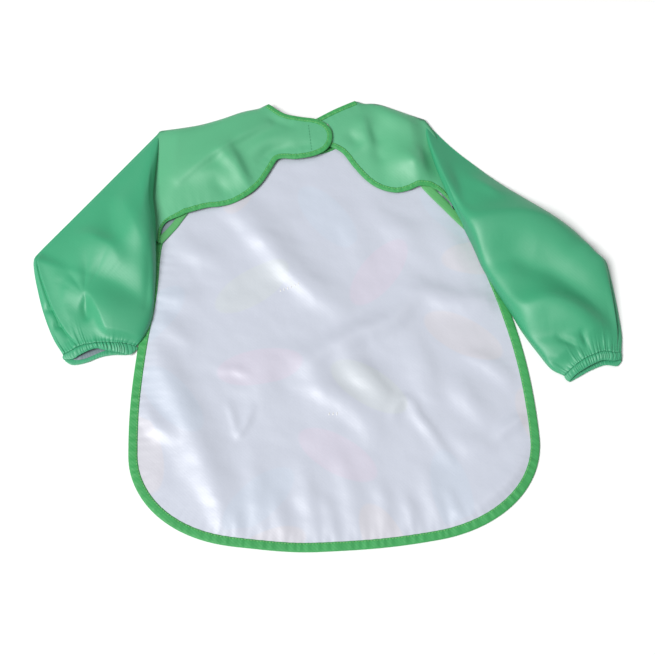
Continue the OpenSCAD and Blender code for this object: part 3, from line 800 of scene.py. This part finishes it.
def linear(hex_colour):
    """An sRGB hex value as linear RGBA."""
    parts = [int(hex_colour[k:k + 2], 16) / 255 for k in (0, 2, 4)]
    return [c / 12.92 if c <= 0.04045 else ((c + 0.055) / 1.055) ** 2.4 for c in parts] + [1.0]


def shade(colour, share):
    """A linear colour made darker or lighter."""
    return [min(1, c * share) for c in colour[:3]] + [1]


def add_node(tree, kind, values=None, links=None, stops=(), **settings):
    """A node with its settings, its inputs' values, the links into it and a ramp's colour stops."""
    node = tree.nodes.new(kind)
    for key, value in settings.items():
        setattr(node, key, value)
    for key, value in (values or {}).items():
        node.inputs[key].default_value = value
    for key, (source, output) in (links or {}).items():
        tree.links.new(source.outputs[output], node.inputs[key])
    for k, (position, colour) in enumerate(stops):
        if k > 1:
            node.color_ramp.elements.new(position)
        node.color_ramp.elements[k].position = position
        node.color_ramp.elements[k].color = colour
    return node


def satin_relief(tree, flat, slack_size, slack_roughness, crease):
    """Relief of satin: fine slanting threads with slack wrinkles over them."""
    threads = add_node(tree, "ShaderNodeTexWave", {"Scale": CLOTH_BANDS, "Distortion": 1.5, "Detail": 1.0},
                       {"Vector": (flat, "UV")}, bands_direction="DIAGONAL")
    slack = add_node(tree, "ShaderNodeTexNoise",
                     {"Scale": 1 / slack_size, "Detail": 4.0, "Roughness": slack_roughness},
                     {"Vector": (flat, "UV")})
    weave = add_node(tree, "ShaderNodeBump", {"Strength": 0.06, "Distance": 0.0002},
                     {"Height": (threads, "Fac")})
    return add_node(tree, "ShaderNodeBump", {"Strength": crease, "Distance": 0.0012},
                    {"Height": (slack, "Fac"), "Normal": (weave, "Normal")})


def satin_cloth(tree, base, dark_share, roughness, shine, crease):
    """Woven satin polyester, pressed smooth: long floats give a broad soft shine, with a cloudy
    depth of dye and fine slack wrinkles. The real threads are 0.2 mm apart; they are drawn 2.5 mm
    apart so that they show at all."""
    flat = add_node(tree, "ShaderNodeUVMap", uv_map="flat_cut")
    cloud = add_node(tree, "ShaderNodeTexNoise", {"Scale": 1 / 0.06, "Detail": 3.0},
                     {"Vector": (flat, "UV")})
    dye = add_node(tree, "ShaderNodeValToRGB", links={"Fac": (cloud, "Fac")},
                   stops=[(0.3, shade(base, dark_share)), (0.7, base)])
    bump = satin_relief(tree, flat, 0.012, 0.55, crease)
    return add_node(tree, "ShaderNodeBsdfPrincipled",
                    {"Roughness": roughness, "IOR": 1.5, "Specular IOR Level": shine},
                    {"Base Color": (dye, "Color"), "Normal": (bump, "Normal")})


def printed_panel_cloth(tree, base, face, roughness):
    """Bleached satin polyester, printed on its front with big soft leaf shapes that show faintly
    through its coated inside. The real threads are 0.2 mm apart; they are drawn 2.5 mm apart."""
    colours = bpy.context.scene.smock_colours
    strength = 1.0 if face == "front" else bpy.context.scene.smock_sizes.print_strength
    leaf_pitch, leaf_shape = 0.098, (1 / 0.46, 1 / 0.2, 0)
    flat = add_node(tree, "ShaderNodeUVMap", uv_map="flat_cut")
    big = add_node(tree, "ShaderNodeVectorMath", {1: (1 / leaf_pitch,) * 3}, {0: (flat, "UV")},
                   operation="MULTIPLY")
    cells = add_node(tree, "ShaderNodeTexVoronoi", {"Scale": 1.0, "Randomness": 0.7},
                     {"Vector": (big, "Vector")}, voronoi_dimensions="2D")
    local = add_node(tree, "ShaderNodeVectorMath", None, {0: (big, "Vector"), 1: (cells, "Position")},
                     operation="SUBTRACT")
    part = add_node(tree, "ShaderNodeSeparateColor", links={"Color": (cells, "Color")})
    turn = add_node(tree, "ShaderNodeMath", {1: FULL_TURN}, {0: (part, "Red")}, operation="MULTIPLY")
    turned = add_node(tree, "ShaderNodeVectorRotate", None,
                      {"Vector": (local, "Vector"), "Angle": (turn, "Value")}, rotation_type="Z_AXIS")
    leaf = add_node(tree, "ShaderNodeVectorMath", {1: leaf_shape}, {0: (turned, "Vector")},
                    operation="MULTIPLY")
    size = add_node(tree, "ShaderNodeVectorMath", None, {0: (leaf, "Vector")}, operation="LENGTH")
    mask = add_node(tree, "ShaderNodeMapRange",
                    {"From Min": 1.0, "From Max": 0.9, "To Min": 0.0, "To Max": strength},
                    {"Value": (size, "Value")}, interpolation_type="SMOOTHSTEP")
    inks = [colours.print_sky, colours.print_leaf, colours.print_rose, colours.print_peach]
    hue = add_node(tree, "ShaderNodeValToRGB", links={"Fac": (part, "Green")},
                   stops=[(k / len(inks), linear(ink)) for k, ink in enumerate(inks)])
    hue.color_ramp.interpolation = "CONSTANT"
    colour = add_node(tree, "ShaderNodeMix", {"A": base},
                      {"Factor": (mask, "Result"), "B": (hue, "Color")}, data_type="RGBA")
    bump = satin_relief(tree, flat, 0.014, 0.5, 0.3)
    return add_node(tree, "ShaderNodeBsdfPrincipled",
                    {"Roughness": roughness, "IOR": 1.5, "Specular IOR Level": 0.9, "Sheen Weight": 0.1,
                     "Sheen Roughness": 0.35},
                    {"Base Color": (colour, "Result"), "Normal": (bump, "Normal")})


def twill_tape(tree, base):
    """Polyester binding tape, woven in twill and folded: duller than the satin, with fine slanting
    ribs. The real ribs are 0.4 mm apart; they are drawn 2.5 mm apart so that they show."""
    flat = add_node(tree, "ShaderNodeUVMap", uv_map="flat_cut")
    cloud = add_node(tree, "ShaderNodeTexNoise", {"Scale": 1 / 0.02, "Detail": 4.0},
                     {"Vector": (flat, "UV")})
    dye = add_node(tree, "ShaderNodeValToRGB", links={"Fac": (cloud, "Fac")},
                   stops=[(0.3, shade(base, 0.93)), (0.72, shade(base, 1.04))])
    ribs = add_node(tree, "ShaderNodeTexWave", {"Scale": CLOTH_BANDS, "Distortion": 0.6, "Detail": 1.0},
                    {"Vector": (flat, "UV")}, bands_direction="DIAGONAL")
    bump = add_node(tree, "ShaderNodeBump", {"Strength": 0.22, "Distance": 0.0003},
                    {"Height": (ribs, "Fac")})
    return add_node(tree, "ShaderNodeBsdfPrincipled",
                    {"Roughness": 0.55, "IOR": 1.5, "Specular IOR Level": 0.4, "Sheen Weight": 0.2,
                     "Sheen Roughness": 0.4},
                    {"Base Color": (dye, "Color"), "Normal": (bump, "Normal")})


def spun_thread(tree, base):
    """Spun polyester sewing thread: matt, with two plies that twist round each other. The real twist
    is about 1 mm long; it is drawn 2.2 mm long."""
    flat = add_node(tree, "ShaderNodeUVMap", uv_map="flat_cut")
    twist = add_node(tree, "ShaderNodeTexWave", {"Scale": PLY_BANDS, "Distortion": 0.4},
                     {"Vector": (flat, "UV")}, bands_direction="DIAGONAL")
    plies = add_node(tree, "ShaderNodeValToRGB", links={"Fac": (twist, "Fac")},
                     stops=[(0, shade(base, 0.8)), (1, base)])
    return add_node(tree, "ShaderNodeBsdfPrincipled",
                    {"Roughness": 0.6, "IOR": 1.5, "Specular IOR Level": 0.4, "Sheen Weight": 0.2},
                    {"Base Color": (plies, "Color")})


def brushed_nylon(tree, base, grain_mm, strength, roughness):
    """Moulded nylon hooks or brushed nylon loops: white, matt and grainy. The grain is the real spacing
    of the hooks or the tufts."""
    flat = add_node(tree, "ShaderNodeUVMap", uv_map="flat_cut")
    grain = add_node(tree, "ShaderNodeTexVoronoi", {"Scale": 1000 / grain_mm}, {"Vector": (flat, "UV")})
    tufts = add_node(tree, "ShaderNodeValToRGB", links={"Fac": (grain, "Distance")},
                     stops=[(0, base), (1, shade(base, 0.72))])
    bump = add_node(tree, "ShaderNodeBump", {"Strength": strength, "Distance": 0.0005},
                    {"Height": (grain, "Distance")})
    return add_node(tree, "ShaderNodeBsdfPrincipled",
                    {"Roughness": roughness, "IOR": 1.53, "Specular IOR Level": 0.4, "Sheen Weight": 0.3},
                    {"Base Color": (tufts, "Color"), "Normal": (bump, "Normal")})


def studio_paper(tree, base):
    """Matt background paper, rolled smooth: an even pale floor with hardly any tooth."""
    place = add_node(tree, "ShaderNodeTexCoord")
    tooth = add_node(tree, "ShaderNodeTexNoise", {"Scale": 1 / 0.004, "Detail": 2.0},
                     {"Vector": (place, "Object")})
    bump = add_node(tree, "ShaderNodeBump", {"Strength": 0.04, "Distance": 0.0003},
                    {"Height": (tooth, "Fac")})
    return add_node(tree, "ShaderNodeBsdfPrincipled",
                    {"Base Color": base, "Roughness": 0.8, "Specular IOR Level": 0.2},
                    {"Normal": (bump, "Normal")})


# Each finish: what makes its shader, its material's name, its colour and the maker's other values.
FINISHES = {
    "sleeve": (satin_cloth, "green_satin_polyester", "sleeve", 0.93, 0.54, 1.0, 0.15),
    # Painted light: the same satin as the sleeves, with a lighter colour standing for the light on the
    # backs.
    "back": (satin_cloth, "green_satin_over_white", "back", 0.93, 0.54, 1.0, 0.18),
    # Partly painted shade: real grey coating, darkened and tinted green for the shade and bounce light it
    # is seen in.
    "lining": (satin_cloth, "grey_coated_polyester", "lining", 0.92, 0.5, 0.5, 0.3),
    "panel_inside": (printed_panel_cloth, "white_satin_polyester_inside", "panel", "inside", 0.44),
    "panel_front": (printed_panel_cloth, "white_satin_polyester_printed", "panel", "front", 0.45),
    "binding": (twill_tape, "green_twill_binding", "binding"),
    "raglan": (twill_tape, "pale_green_twill_tape", "raglan"),
    "elastic": (twill_tape, "covered_elastic", "elastic"),
    "topstitch": (spun_thread, "green_spun_thread", "topstitch"),
    "sleeve_thread": (spun_thread, "dark_green_spun_thread", "seam"),
    "cuff_thread": (spun_thread, "leaf_green_spun_thread", "cuff_thread"),
    "white_thread": (spun_thread, "white_spun_thread", "white"),
    "hooks": (brushed_nylon, "moulded_nylon_hooks", "white", 1.5, 0.8, 0.5),
    "loops": (brushed_nylon, "brushed_nylon_loops", "white", 0.7, 0.5, 0.9),
    "floor": (studio_paper, "matt_studio_paper", "floor"),
}
MADE = {}


def finish(key):
    """The material of one finish, made once."""
    if key not in MADE:
        make, name, colour, *values = FINISHES[key]
        material = bpy.data.materials.new(name)
        material.use_nodes = True
        tree = material.node_tree
        tree.nodes.clear()
        shader = make(tree, linear(getattr(bpy.context.scene.smock_colours, colour)), *values)
        add_node(tree, "ShaderNodeOutputMaterial", links={"Surface": (shader, "BSDF")})
        MADE[key] = material
    return MADE[key]


# Pieces


def bound_edge(name, path, inward, height, attach, nodes, width, seed):
    """Folded tape along an edge with its topstitch, riding on the garment or baked in place by the given
    step.
    """
    pitch = bpy.context.scene.smock_sizes.stitch_pitch / MM
    width = np.broadcast_to(np.asarray(width, float), (len(path),))
    tape = add_piece(name, *folded_tape(path, inward, height, width, seed), [finish("binding")])
    points = stitch_line(path + inward * (width - 1.3)[:, None], height, pitch, 0.92)
    verts, faces = stitches(points, 0.8 * pitch, 0.75, 0.4)
    thread = add_piece(name + "_topstitch", verts, faces, [finish("topstitch")])
    for piece in (tape, thread):
        attach(piece)
    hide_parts(*nodes)


def on_garment(piece):
    """Lets a piece ride on the garment."""
    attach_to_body(piece, "garment")


def flap_bend():
    """Returns a step that bakes a piece's placement into its mesh."""

    def bend(piece):
        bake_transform(piece)

    return bend


def sleeve_bend():
    """Returns a step that bakes a piece's placement into its mesh."""

    def bend(piece):
        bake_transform(piece)

    return bend


class SMOCK_OT_panel(bpy.types.Operator):
    """Makes the front panel, lying face down"""

    bl_idname = "smock.panel"
    bl_label = "Front panel"

    def execute(self, context):
        sizes = context.scene.smock_sizes
        piece = cloth_piece("panel_cloth", PANEL_OUTLINE, panel_height,
                            [finish("panel_inside"), finish("panel_front")],
                            sizes.cloth_grid / MM, sizes.cloth_thickness / MM)
        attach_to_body(piece, "garment")
        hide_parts("front_panel")
        return {"FINISHED"}


class SMOCK_OT_backs(bpy.types.Operator):
    """Makes each green back: flap, shoulder and the shoulder's front layer"""

    bl_idname = "smock.backs"
    bl_label = "Back flaps and shoulders"

    def execute(self, context):
        sizes = context.scene.smock_sizes
        spacing, thickness = sizes.cloth_grid / MM, sizes.cloth_thickness / MM
        for side in SIDES:
            outline = BACK_OUTLINE[side] if side == "left" else BACK_OUTLINE[side][::-1]
            back = cloth_piece(side + "_back_cloth", outline, back_surface(side),
                               [finish("back"), finish("lining")], spacing, thickness)
            flap_bend()(back)
            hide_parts(side + "_back_flap", side + "_shoulder")
            outline = np.vstack([SHOULDER_FOLD[side], RAGLAN[side][::-1]])
            if side == "left":
                outline = outline[::-1]
            front = cloth_piece(side + "_shoulder_front", outline, front_surface(side),
                                [finish("lining"), finish("sleeve")], spacing, thickness)
            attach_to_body(front, "garment")
        return {"FINISHED"}


def at_share(path, share):
    """Plan points at the given shares of the way along a path."""
    return np.array([np.interp(share, np.linspace(0, 1, len(path)), path[:, k]) for k in range(2)]).T


def ring_places(count):
    """Places round a sleeve: the share of the way across it, and which ones are on its upper half."""
    half = count // 2
    across = 0.5 - 0.5 * np.cos(np.linspace(0, math.pi, half, endpoint=False))
    return np.concatenate([across, 1 - across]), np.arange(count) < half


def cuff_ring(side, over, top):
    """Seam and lip of a cuff in millimetres, and the direction away from its middle, round its ring."""
    lines = {k: at_share(through(v, 300), over) for k, v in CUFF_LINES[side].items()}
    arch = np.sin(math.pi * over) ** 0.7
    seam = np.where(top[:, None], lines["seam_top"], lines["seam_low"])
    lip = np.where(top[:, None], lines["lip_top"], lines["lip_low"])
    seam = np.column_stack([seam, np.where(top, 2.6 + CUFF_RISE[side] * arch, 1.7)])
    lip = np.column_stack([lip, np.where(top, 2.5 + 0.72 * CUFF_RISE[side] * arch, 1.9)])
    across = seam[len(over) // 2] - seam[0]
    across[2] = 0
    across /= np.linalg.norm(across)
    turn = math.pi * over
    away = -np.cos(turn)[:, None] * across + np.outer(np.sin(turn) * np.where(top, 1.0, -1.0), UP)
    return seam, lip, away


def cuff_gathers(side, over, top):
    """Height of the gathers round a cuff, from 0 to 1, and how far each one reaches up the sleeve."""
    count = bpy.context.scene.smock_sizes.cuff_gathers
    rng = np.random.default_rng(7 + SIGN[side])
    seam, _, _ = cuff_ring(side, over, top)
    run = run_along(np.vstack([seam, seam[:1]]))
    share = run[:-1] / run[-1]
    drift = 0.35 * np.sin(2 * math.pi * (5 * share + 0.2)) + 0.3 * np.sin(2 * math.pi * (9 * share + 0.6))
    phase = count * share + drift
    which = np.floor(phase).astype(int) % count
    ridge = np.abs(np.sin(math.pi * phase)) ** 0.55
    tall = rng.uniform(0.55, 1.0, count)
    is_long = rng.uniform(size=count) < 0.3
    reach = np.where(is_long, rng.uniform(6, 11, count), rng.uniform(2, 4, count))
    return tall[which] * ridge, reach[which]


def sleeve_plan(side, over, seam, shares, lean):
    """Plan points of the rings down a sleeve, and its width at each ring."""
    outer, inner = at_share(SLEEVE_OUTER[side], shares), at_share(SLEEVE_INNER[side], shares)
    plan = outer[:, None, :] + (inner - outer)[:, None, :] * over[None, :, None]
    head = at_share(HEAD_LINE[side], over)
    bow = head - (outer[0] + (inner[0] - outer[0]) * over[:, None])
    plan = plan + bow[None] * (1 - ease(shares / 0.3))[:, None, None]
    across = inner[0] - outer[0]
    out = np.array([-across[1], across[0]]) / np.linalg.norm(across) * -SIGN[side]
    arch = np.sqrt(np.sin(math.pi * over))
    plan = plan + out[None, None, :] * (lean[:, None] * arch[None, :])[..., None]
    near_cuff = ease((shares - 0.72) / 0.28)
    plan = plan + (seam[:, :2] - plan[-1])[None] * near_cuff[:, None, None]
    return plan, np.linalg.norm(inner - outer, axis=1)


def sleeve_rise(side, plan, width, over, shares, part):
    """How far a sleeve's top side stands above its rest: its flat lap, its puff and its folds."""
    x, y = plan[..., 0].ravel(), plan[..., 1].ravel()
    lap = FLANGE[side] * ease((shares - 0.58) / 0.1)
    if side == "left":
        slow = 0.25 * ease((shares - 0.58) / 0.07) + 0.75 * np.clip((shares - 0.62) / 0.34, 0, 1)
        lap = FLANGE[side] * slow
    lap_share = (lap / width)[:, None]
    past_lap = (over[None, :] - lap_share) * width[:, None]
    steep = ease(lap / 4)[:, None]
    on_lap = np.clip(over[None, :] / np.maximum(lap_share, 1e-6), 0, 1)
    lap_high = 2.8 * steep * np.sin(0.8 * math.pi * on_lap)
    if side == "left":
        dent = fold_height(x, y, FLANGE_DENTS).reshape(plan.shape[:2])
        lap_high = lap_high - np.minimum(dent, 0.8 * lap_high) * (1 - ease(past_lap / LAP_STEP))
    step = 4.0 * steep * ease(past_lap / LAP_STEP)
    fade = np.exp(-np.maximum(past_lap, 0) / 15)

    puff = np.interp(shares, *through(SLEEVE_PUFF[side], 300).T)[:, None]
    lean_in = np.interp(shares, *through(SLEEVE_LEAN[side], 300).T)[:, None]
    q = np.clip((over[None, :] - lap_share) / (1 - lap_share), 0, 1) ** lean_in
    dome = np.sin(math.pi * q) ** np.where(q < 0.5, 0.55 - 0.1 * steep, INNER_DOME[side])
    fold = fold_height(x, y, SLEEVE_FOLDS[side], 1.8).reshape(plan.shape[:2])
    return (lap_high + step) * fade + (puff * dome + fold * ease(dome / 0.7)) * part[:, None]


def sleeve_points(side, count):
    """Rings of points down a sleeve, from its head to its cuff seam."""
    over, top = ring_places(count)
    lean, part = np.array(HEAD_ROLL).T
    body = np.concatenate([np.linspace(0.004, 0.78, 74), np.linspace(0.78, 1, 52)[1:]])
    shares = np.concatenate([np.zeros(len(lean)), body])
    lean = np.concatenate([lean, np.linspace(-1.3, 0, 4), np.zeros(len(body) - 4)])
    part = np.concatenate([part, np.linspace(0.95, 1, 4), np.ones(len(body) - 4)])
    seam, _, _ = cuff_ring(side, over, top)
    plan, width = sleeve_plan(side, over, seam, shares, lean)
    tall = sleeve_rise(side, plan, width, over, shares, part)
    low, soft = (z.reshape(plan.shape[:2]) for z in sleeve_rest(plan[..., 0].ravel(), plan[..., 1].ravel()))
    body_z = np.where(top[None, :], np.maximum(soft + 0.6 + tall, low + 0.9), low)
    near = ease((shares - 0.9) / 0.1)[:, None]
    z = body_z * (1 - near) + (seam[None, :, 2] - np.where(top, 0.2, -0.2)[None, :]) * near
    gather, reach = cuff_gathers(side, over, top)
    from_seam = (1 - shares)[:, None] * 0.8 * path_length(SLEEVE_OUTER[side])
    lift = 2.5 * gather[None, :] * np.exp(-from_seam / reach[None, :]) * (0.5 + 0.5 * ease(from_seam / 2.0))
    z = z + np.where(top[None, :], lift, 0.3 * lift)
    return np.concatenate([plan, z[..., None]], axis=2)


class SMOCK_OT_sleeves(bpy.types.Operator):
    """Makes the two sleeves, puffed and gathered into their cuffs"""

    bl_idname = "smock.sleeves"
    bl_label = "Sleeves"

    def execute(self, context):
        thickness = context.scene.smock_sizes.cloth_thickness / MM
        for side in SIDES:
            rings = sleeve_points(side, SLEEVE_RING)
            faces = ring_faces(len(rings), SLEEVE_RING, side)
            verts, faces, slots = two_faced(rings.reshape(-1, 3), faces, thickness)
            piece = add_piece(side + "_sleeve_cloth", verts, faces, [finish("sleeve"), finish("lining")],
                              slots)
            sleeve_bend()(piece)
            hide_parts(side + "_sleeve")
        return {"FINISHED"}


class SMOCK_OT_cuffs(bpy.types.Operator):
    """Makes the gathered cuff casings, their stitching and the elastic inside"""

    bl_idname = "smock.cuffs"
    bl_label = "Cuffs"

    def execute(self, context):
        count = CUFF_RING
        over, top = ring_places(count)
        for side in SIDES:
            seam, lip, away = cuff_ring(side, over, top)
            gather, _ = cuff_gathers(side, over, top)

            def ring(share, offset, gathered):
                swell = offset + gathered * (gather - 0.4) * np.where(top, 1.0, 0.6)
                return seam + (lip - seam) * share + away * swell[:, None]

            rows = []
            for share, offset in CASING_SECTION:
                full = math.sin(math.pi * min(max(share, 0.12), 0.92)) ** 0.5
                rows.append(ring(share, offset, (2.5 if offset > -0.6 else 0.8) * full))
            casing = add_piece(side + "_cuff_casing_cloth", np.stack(rows).reshape(-1, 3),
                               ring_faces(len(rows), count, side), [finish("sleeve")])
            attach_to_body(casing, side + "_sleeve")
            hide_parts(side + "_cuff_casing")

            rows = [ring(*place) for place in ELASTIC_SECTION]
            band = np.stack(rows).reshape(-1, 3)
            faces = [tuple(k % len(band) for k in f) for f in ring_faces(len(rows) + 1, count, side)]
            elastic = add_piece(side + "_cuff_elastic_band", band, faces, [finish("elastic")])
            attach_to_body(elastic, side + "_sleeve")
            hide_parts(side + "_cuff_elastic")

            line = even(ring(0.04, 0.05, 0.7)[top][8:-8], 40)
            thread = add_piece(side + "_cuff_stitching", *stitches(line, 1.2, 0.6, 0.35),
                               [finish("cuff_thread")])
            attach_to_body(thread, side + "_sleeve")
        return {"FINISHED"}


class SMOCK_OT_bindings(bpy.types.Operator):
    """Makes the binding of the hem, the neckline, the flaps and the raglan seams"""

    bl_idname = "smock.bindings"
    bl_label = "Bindings"

    def execute(self, context):
        sizes = context.scene.smock_sizes
        hem_width, flap_width = sizes.binding_width / MM, sizes.flap_binding_width / MM
        count = len(PANEL_EDGE)
        ends = np.minimum(np.arange(count), np.arange(count)[::-1]) * path_length(PANEL_EDGE) / (count - 1)
        bound_edge("hem_binding_tape", PANEL_EDGE, -sideways(PANEL_EDGE), panel_height, on_garment,
                   ["hem_binding"], hem_width - 2.5 * (1 - ease(ends / 60)), 11)
        bound_edge("neckline_binding_tape", NECKLINE[3:-3], -sideways(NECKLINE)[3:-3], panel_height,
                   on_garment, ["front_neck_binding"], flap_width, 12)
        for side in SIDES:
            path = even(BACK_EDGE[side], 460)
            past_flap = np.linspace(0, path_length(path), len(path)) - path_length(FLAP_EDGE[side])
            bound_edge(side + "_back_binding_tape", path, sideways(path) * SIGN[side], back_surface(side),
                       flap_bend(), [side + "_flap_binding", side + "_underarm_binding"],
                       flap_width - 2.4 * ease(past_flap / 30), 13 + SIGN[side])
            width = sizes.raglan_width / MM
            path = even(RAGLAN[side], 120)
            across = sideways(path)
            outer = path - across * width / 2
            verts, faces = folded_tape(outer, across, front_surface(side, 1.1), width * RAGLAN_SHARE[side],
                                       17 + SIGN[side], 0.75)
            strip = add_piece(side + "_raglan_binding_tape", verts, faces, [finish("raglan")])
            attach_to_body(strip, "garment")
            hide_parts(side + "_raglan_binding")
        return {"FINISHED"}


def loop_square(share, count):
    """Outline of the loop patch, or of a line inside it, at a share of its size."""
    a, b = heading(10), heading(100)
    corners = [(-9.5, -10), (9.5, -10), (9.5, 10), (-9.5, 10), (-9.5, -10)]
    return even(np.array([LOOP_MID + share * u * a + share * v * b for u, v in corners]), count)


class SMOCK_OT_fastening(bpy.types.Operator):
    """Makes the hook and loop patches, their stitching and the tacking bars"""

    bl_idname = "smock.fastening"
    bl_label = "Fastening and tacks"

    def execute(self, context):
        def patch(name, outline, height, key, body, node):
            piece = cloth_piece(name, outline, height, [finish(key)], 1.2, PATCH_THICKNESS)
            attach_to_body(piece, body)
            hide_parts(node)

        turn = np.linspace(-2.2, 2.2, 40)
        hook = np.column_stack([-2.1 + 13 * np.cos(turn), 203.3 + 13 * np.sin(turn)])
        patch("hook_patch_nylon", hook, back_surface("left", -0.9), "hooks", "left_flap", "hook_patch")
        loop = loop_square(1, 64)[:-1]
        patch("loop_patch_nylon", loop, back_surface("right", 0.75), "loops", "right_flap", "loop_patch")

        line = np.array([(-4, 214), (-3, 198), (-2, 183)])
        points = stitch_line(through(line, 60), back_surface("left"), 2.9, 0.25)
        row = add_piece("hook_patch_topstitch", *stitches(points, 2.6, 0.7, 0.4), [finish("sleeve_thread")])
        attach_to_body(row, "left_flap")
        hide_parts("hook_patch_stitching")
        points = stitch_line(loop_square(0.82, 90), back_surface("right"), 2.6, 1.25)
        row = add_piece("loop_patch_topstitch", *stitches(points, 2.0, 0.6, 0.4), [finish("white_thread")])
        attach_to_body(row, "right_flap")
        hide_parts("loop_patch_stitching")

        verts, faces = [], []
        for mid, turn, count in (((-33, 271), 14, 6), ((3.5, 135), -3, 3)):
            for k in range(count):
                c = np.array(mid) + [MID_X, HEM_Y] + heading(turn) * (k - (count - 1) / 2) * 3.8
                ends = np.array([c - heading(turn + 78) * 1.6, c + heading(turn + 78) * 1.6])
                high = panel_height(ends[:, 0], ends[:, 1]) + 0.35
                v, f = stitches(np.column_stack([ends, high]), 3.6, 1.0, 0.5)
                faces += [tuple(i + len(verts) for i in g) for g in f]
                verts += list(v)
        tacks = add_piece("panel_tacking_bars", np.array(verts), faces, [finish("white_thread")])
        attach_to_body(tacks, "garment")
        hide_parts("panel_bartacks")
        return {"FINISHED"}


# Each soft light: its name, place and width in metres, and power in watts.
SOFTBOXES = [
    ("key_softbox", (-3.2, -1.7, 5.2), 3.0, 420),
    ("fill_softbox", (1.6, 1.6, 3.2), 2.0, 12),
]


class SMOCK_OT_stage(bpy.types.Operator):
    """Makes the pale floor, the soft lights and the camera"""

    bl_idname = "smock.stage"
    bl_label = "Stage"

    def execute(self, context):
        scene = context.scene
        mesh = bpy.data.meshes.new("floor")
        mesh.from_pydata([(-4, -4, 0), (4, -4, 0), (4, 4, 0), (-4, 4, 0)], [], [(0, 1, 2, 3)])
        mesh.materials.append(finish("floor"))
        floor = bpy.data.objects.new("floor", mesh)
        scene.collection.objects.link(floor)

        def place(name, data, at, target):
            thing = bpy.data.objects.new(name, data)
            thing.location = at
            thing.rotation_mode = "QUATERNION"
            thing.rotation_quaternion = (Vector(target) - Vector(at)).to_track_quat("-Z", "Y")
            scene.collection.objects.link(thing)
            return thing

        for name, at, size, power in SOFTBOXES:
            data = bpy.data.lights.new(name, "AREA")
            data.size = size
            data.energy = power
            place(name, data, at, (0, 0, 0))
        world = bpy.data.worlds.new("studio")
        world.use_nodes = True
        world.node_tree.nodes["Background"].inputs["Color"].default_value = (1, 1, 1, 1)
        world.node_tree.nodes["Background"].inputs["Strength"].default_value = 0.27
        scene.world = world
        scene.view_settings.view_transform = "Standard"

        data = bpy.data.cameras.new("photo_camera")
        data.lens = 79.7
        data.sensor_width = 36
        scene.camera = place("photo_camera", data, (-0.0254, -0.5562, 1.3444), (0.0039, -0.01375, 0))
        return {"FINISHED"}


class SMOCK_PT_panel(bpy.types.Panel):
    """Lists the smock's pieces and their settings"""

    bl_idname = "SMOCK_PT_panel"
    bl_label = "Smock"
    bl_space_type = "VIEW_3D"
    bl_region_type = "UI"
    bl_category = "Smock"

    def draw(self, context):
        for group in (context.scene.smock_sizes, context.scene.smock_colours):
            for name in group.bl_rna.properties.keys():
                if name not in ("rna_type", "name"):
                    self.layout.prop(group, name)
        for operator in OPERATORS:
            self.layout.operator(operator.bl_idname)


OPERATORS = (SMOCK_OT_panel, SMOCK_OT_backs, SMOCK_OT_sleeves, SMOCK_OT_cuffs, SMOCK_OT_bindings,
             SMOCK_OT_fastening, SMOCK_OT_stage)
CLASSES = (SmockSizes, SmockColours) + OPERATORS + (SMOCK_PT_panel,)


def register():
    """Registers the add-on's classes and settings."""
    for cls in CLASSES:
        bpy.utils.register_class(cls)
    bpy.types.Scene.smock_sizes = PointerProperty(type=SmockSizes)
    bpy.types.Scene.smock_colours = PointerProperty(type=SmockColours)


def unregister():
    """Takes the add-on's settings and classes away again."""
    del bpy.types.Scene.smock_colours
    del bpy.types.Scene.smock_sizes
    for cls in reversed(CLASSES):
        bpy.utils.unregister_class(cls)


def main():
    """Makes the whole smock on its stage."""
    register()
    bpy.ops.smock.stage()
    bpy.ops.smock.panel()
    bpy.ops.smock.backs()
    bpy.ops.smock.sleeves()
    bpy.ops.smock.cuffs()
    bpy.ops.smock.bindings()
    bpy.ops.smock.fastening()


if __name__ == "__main__":
    main()
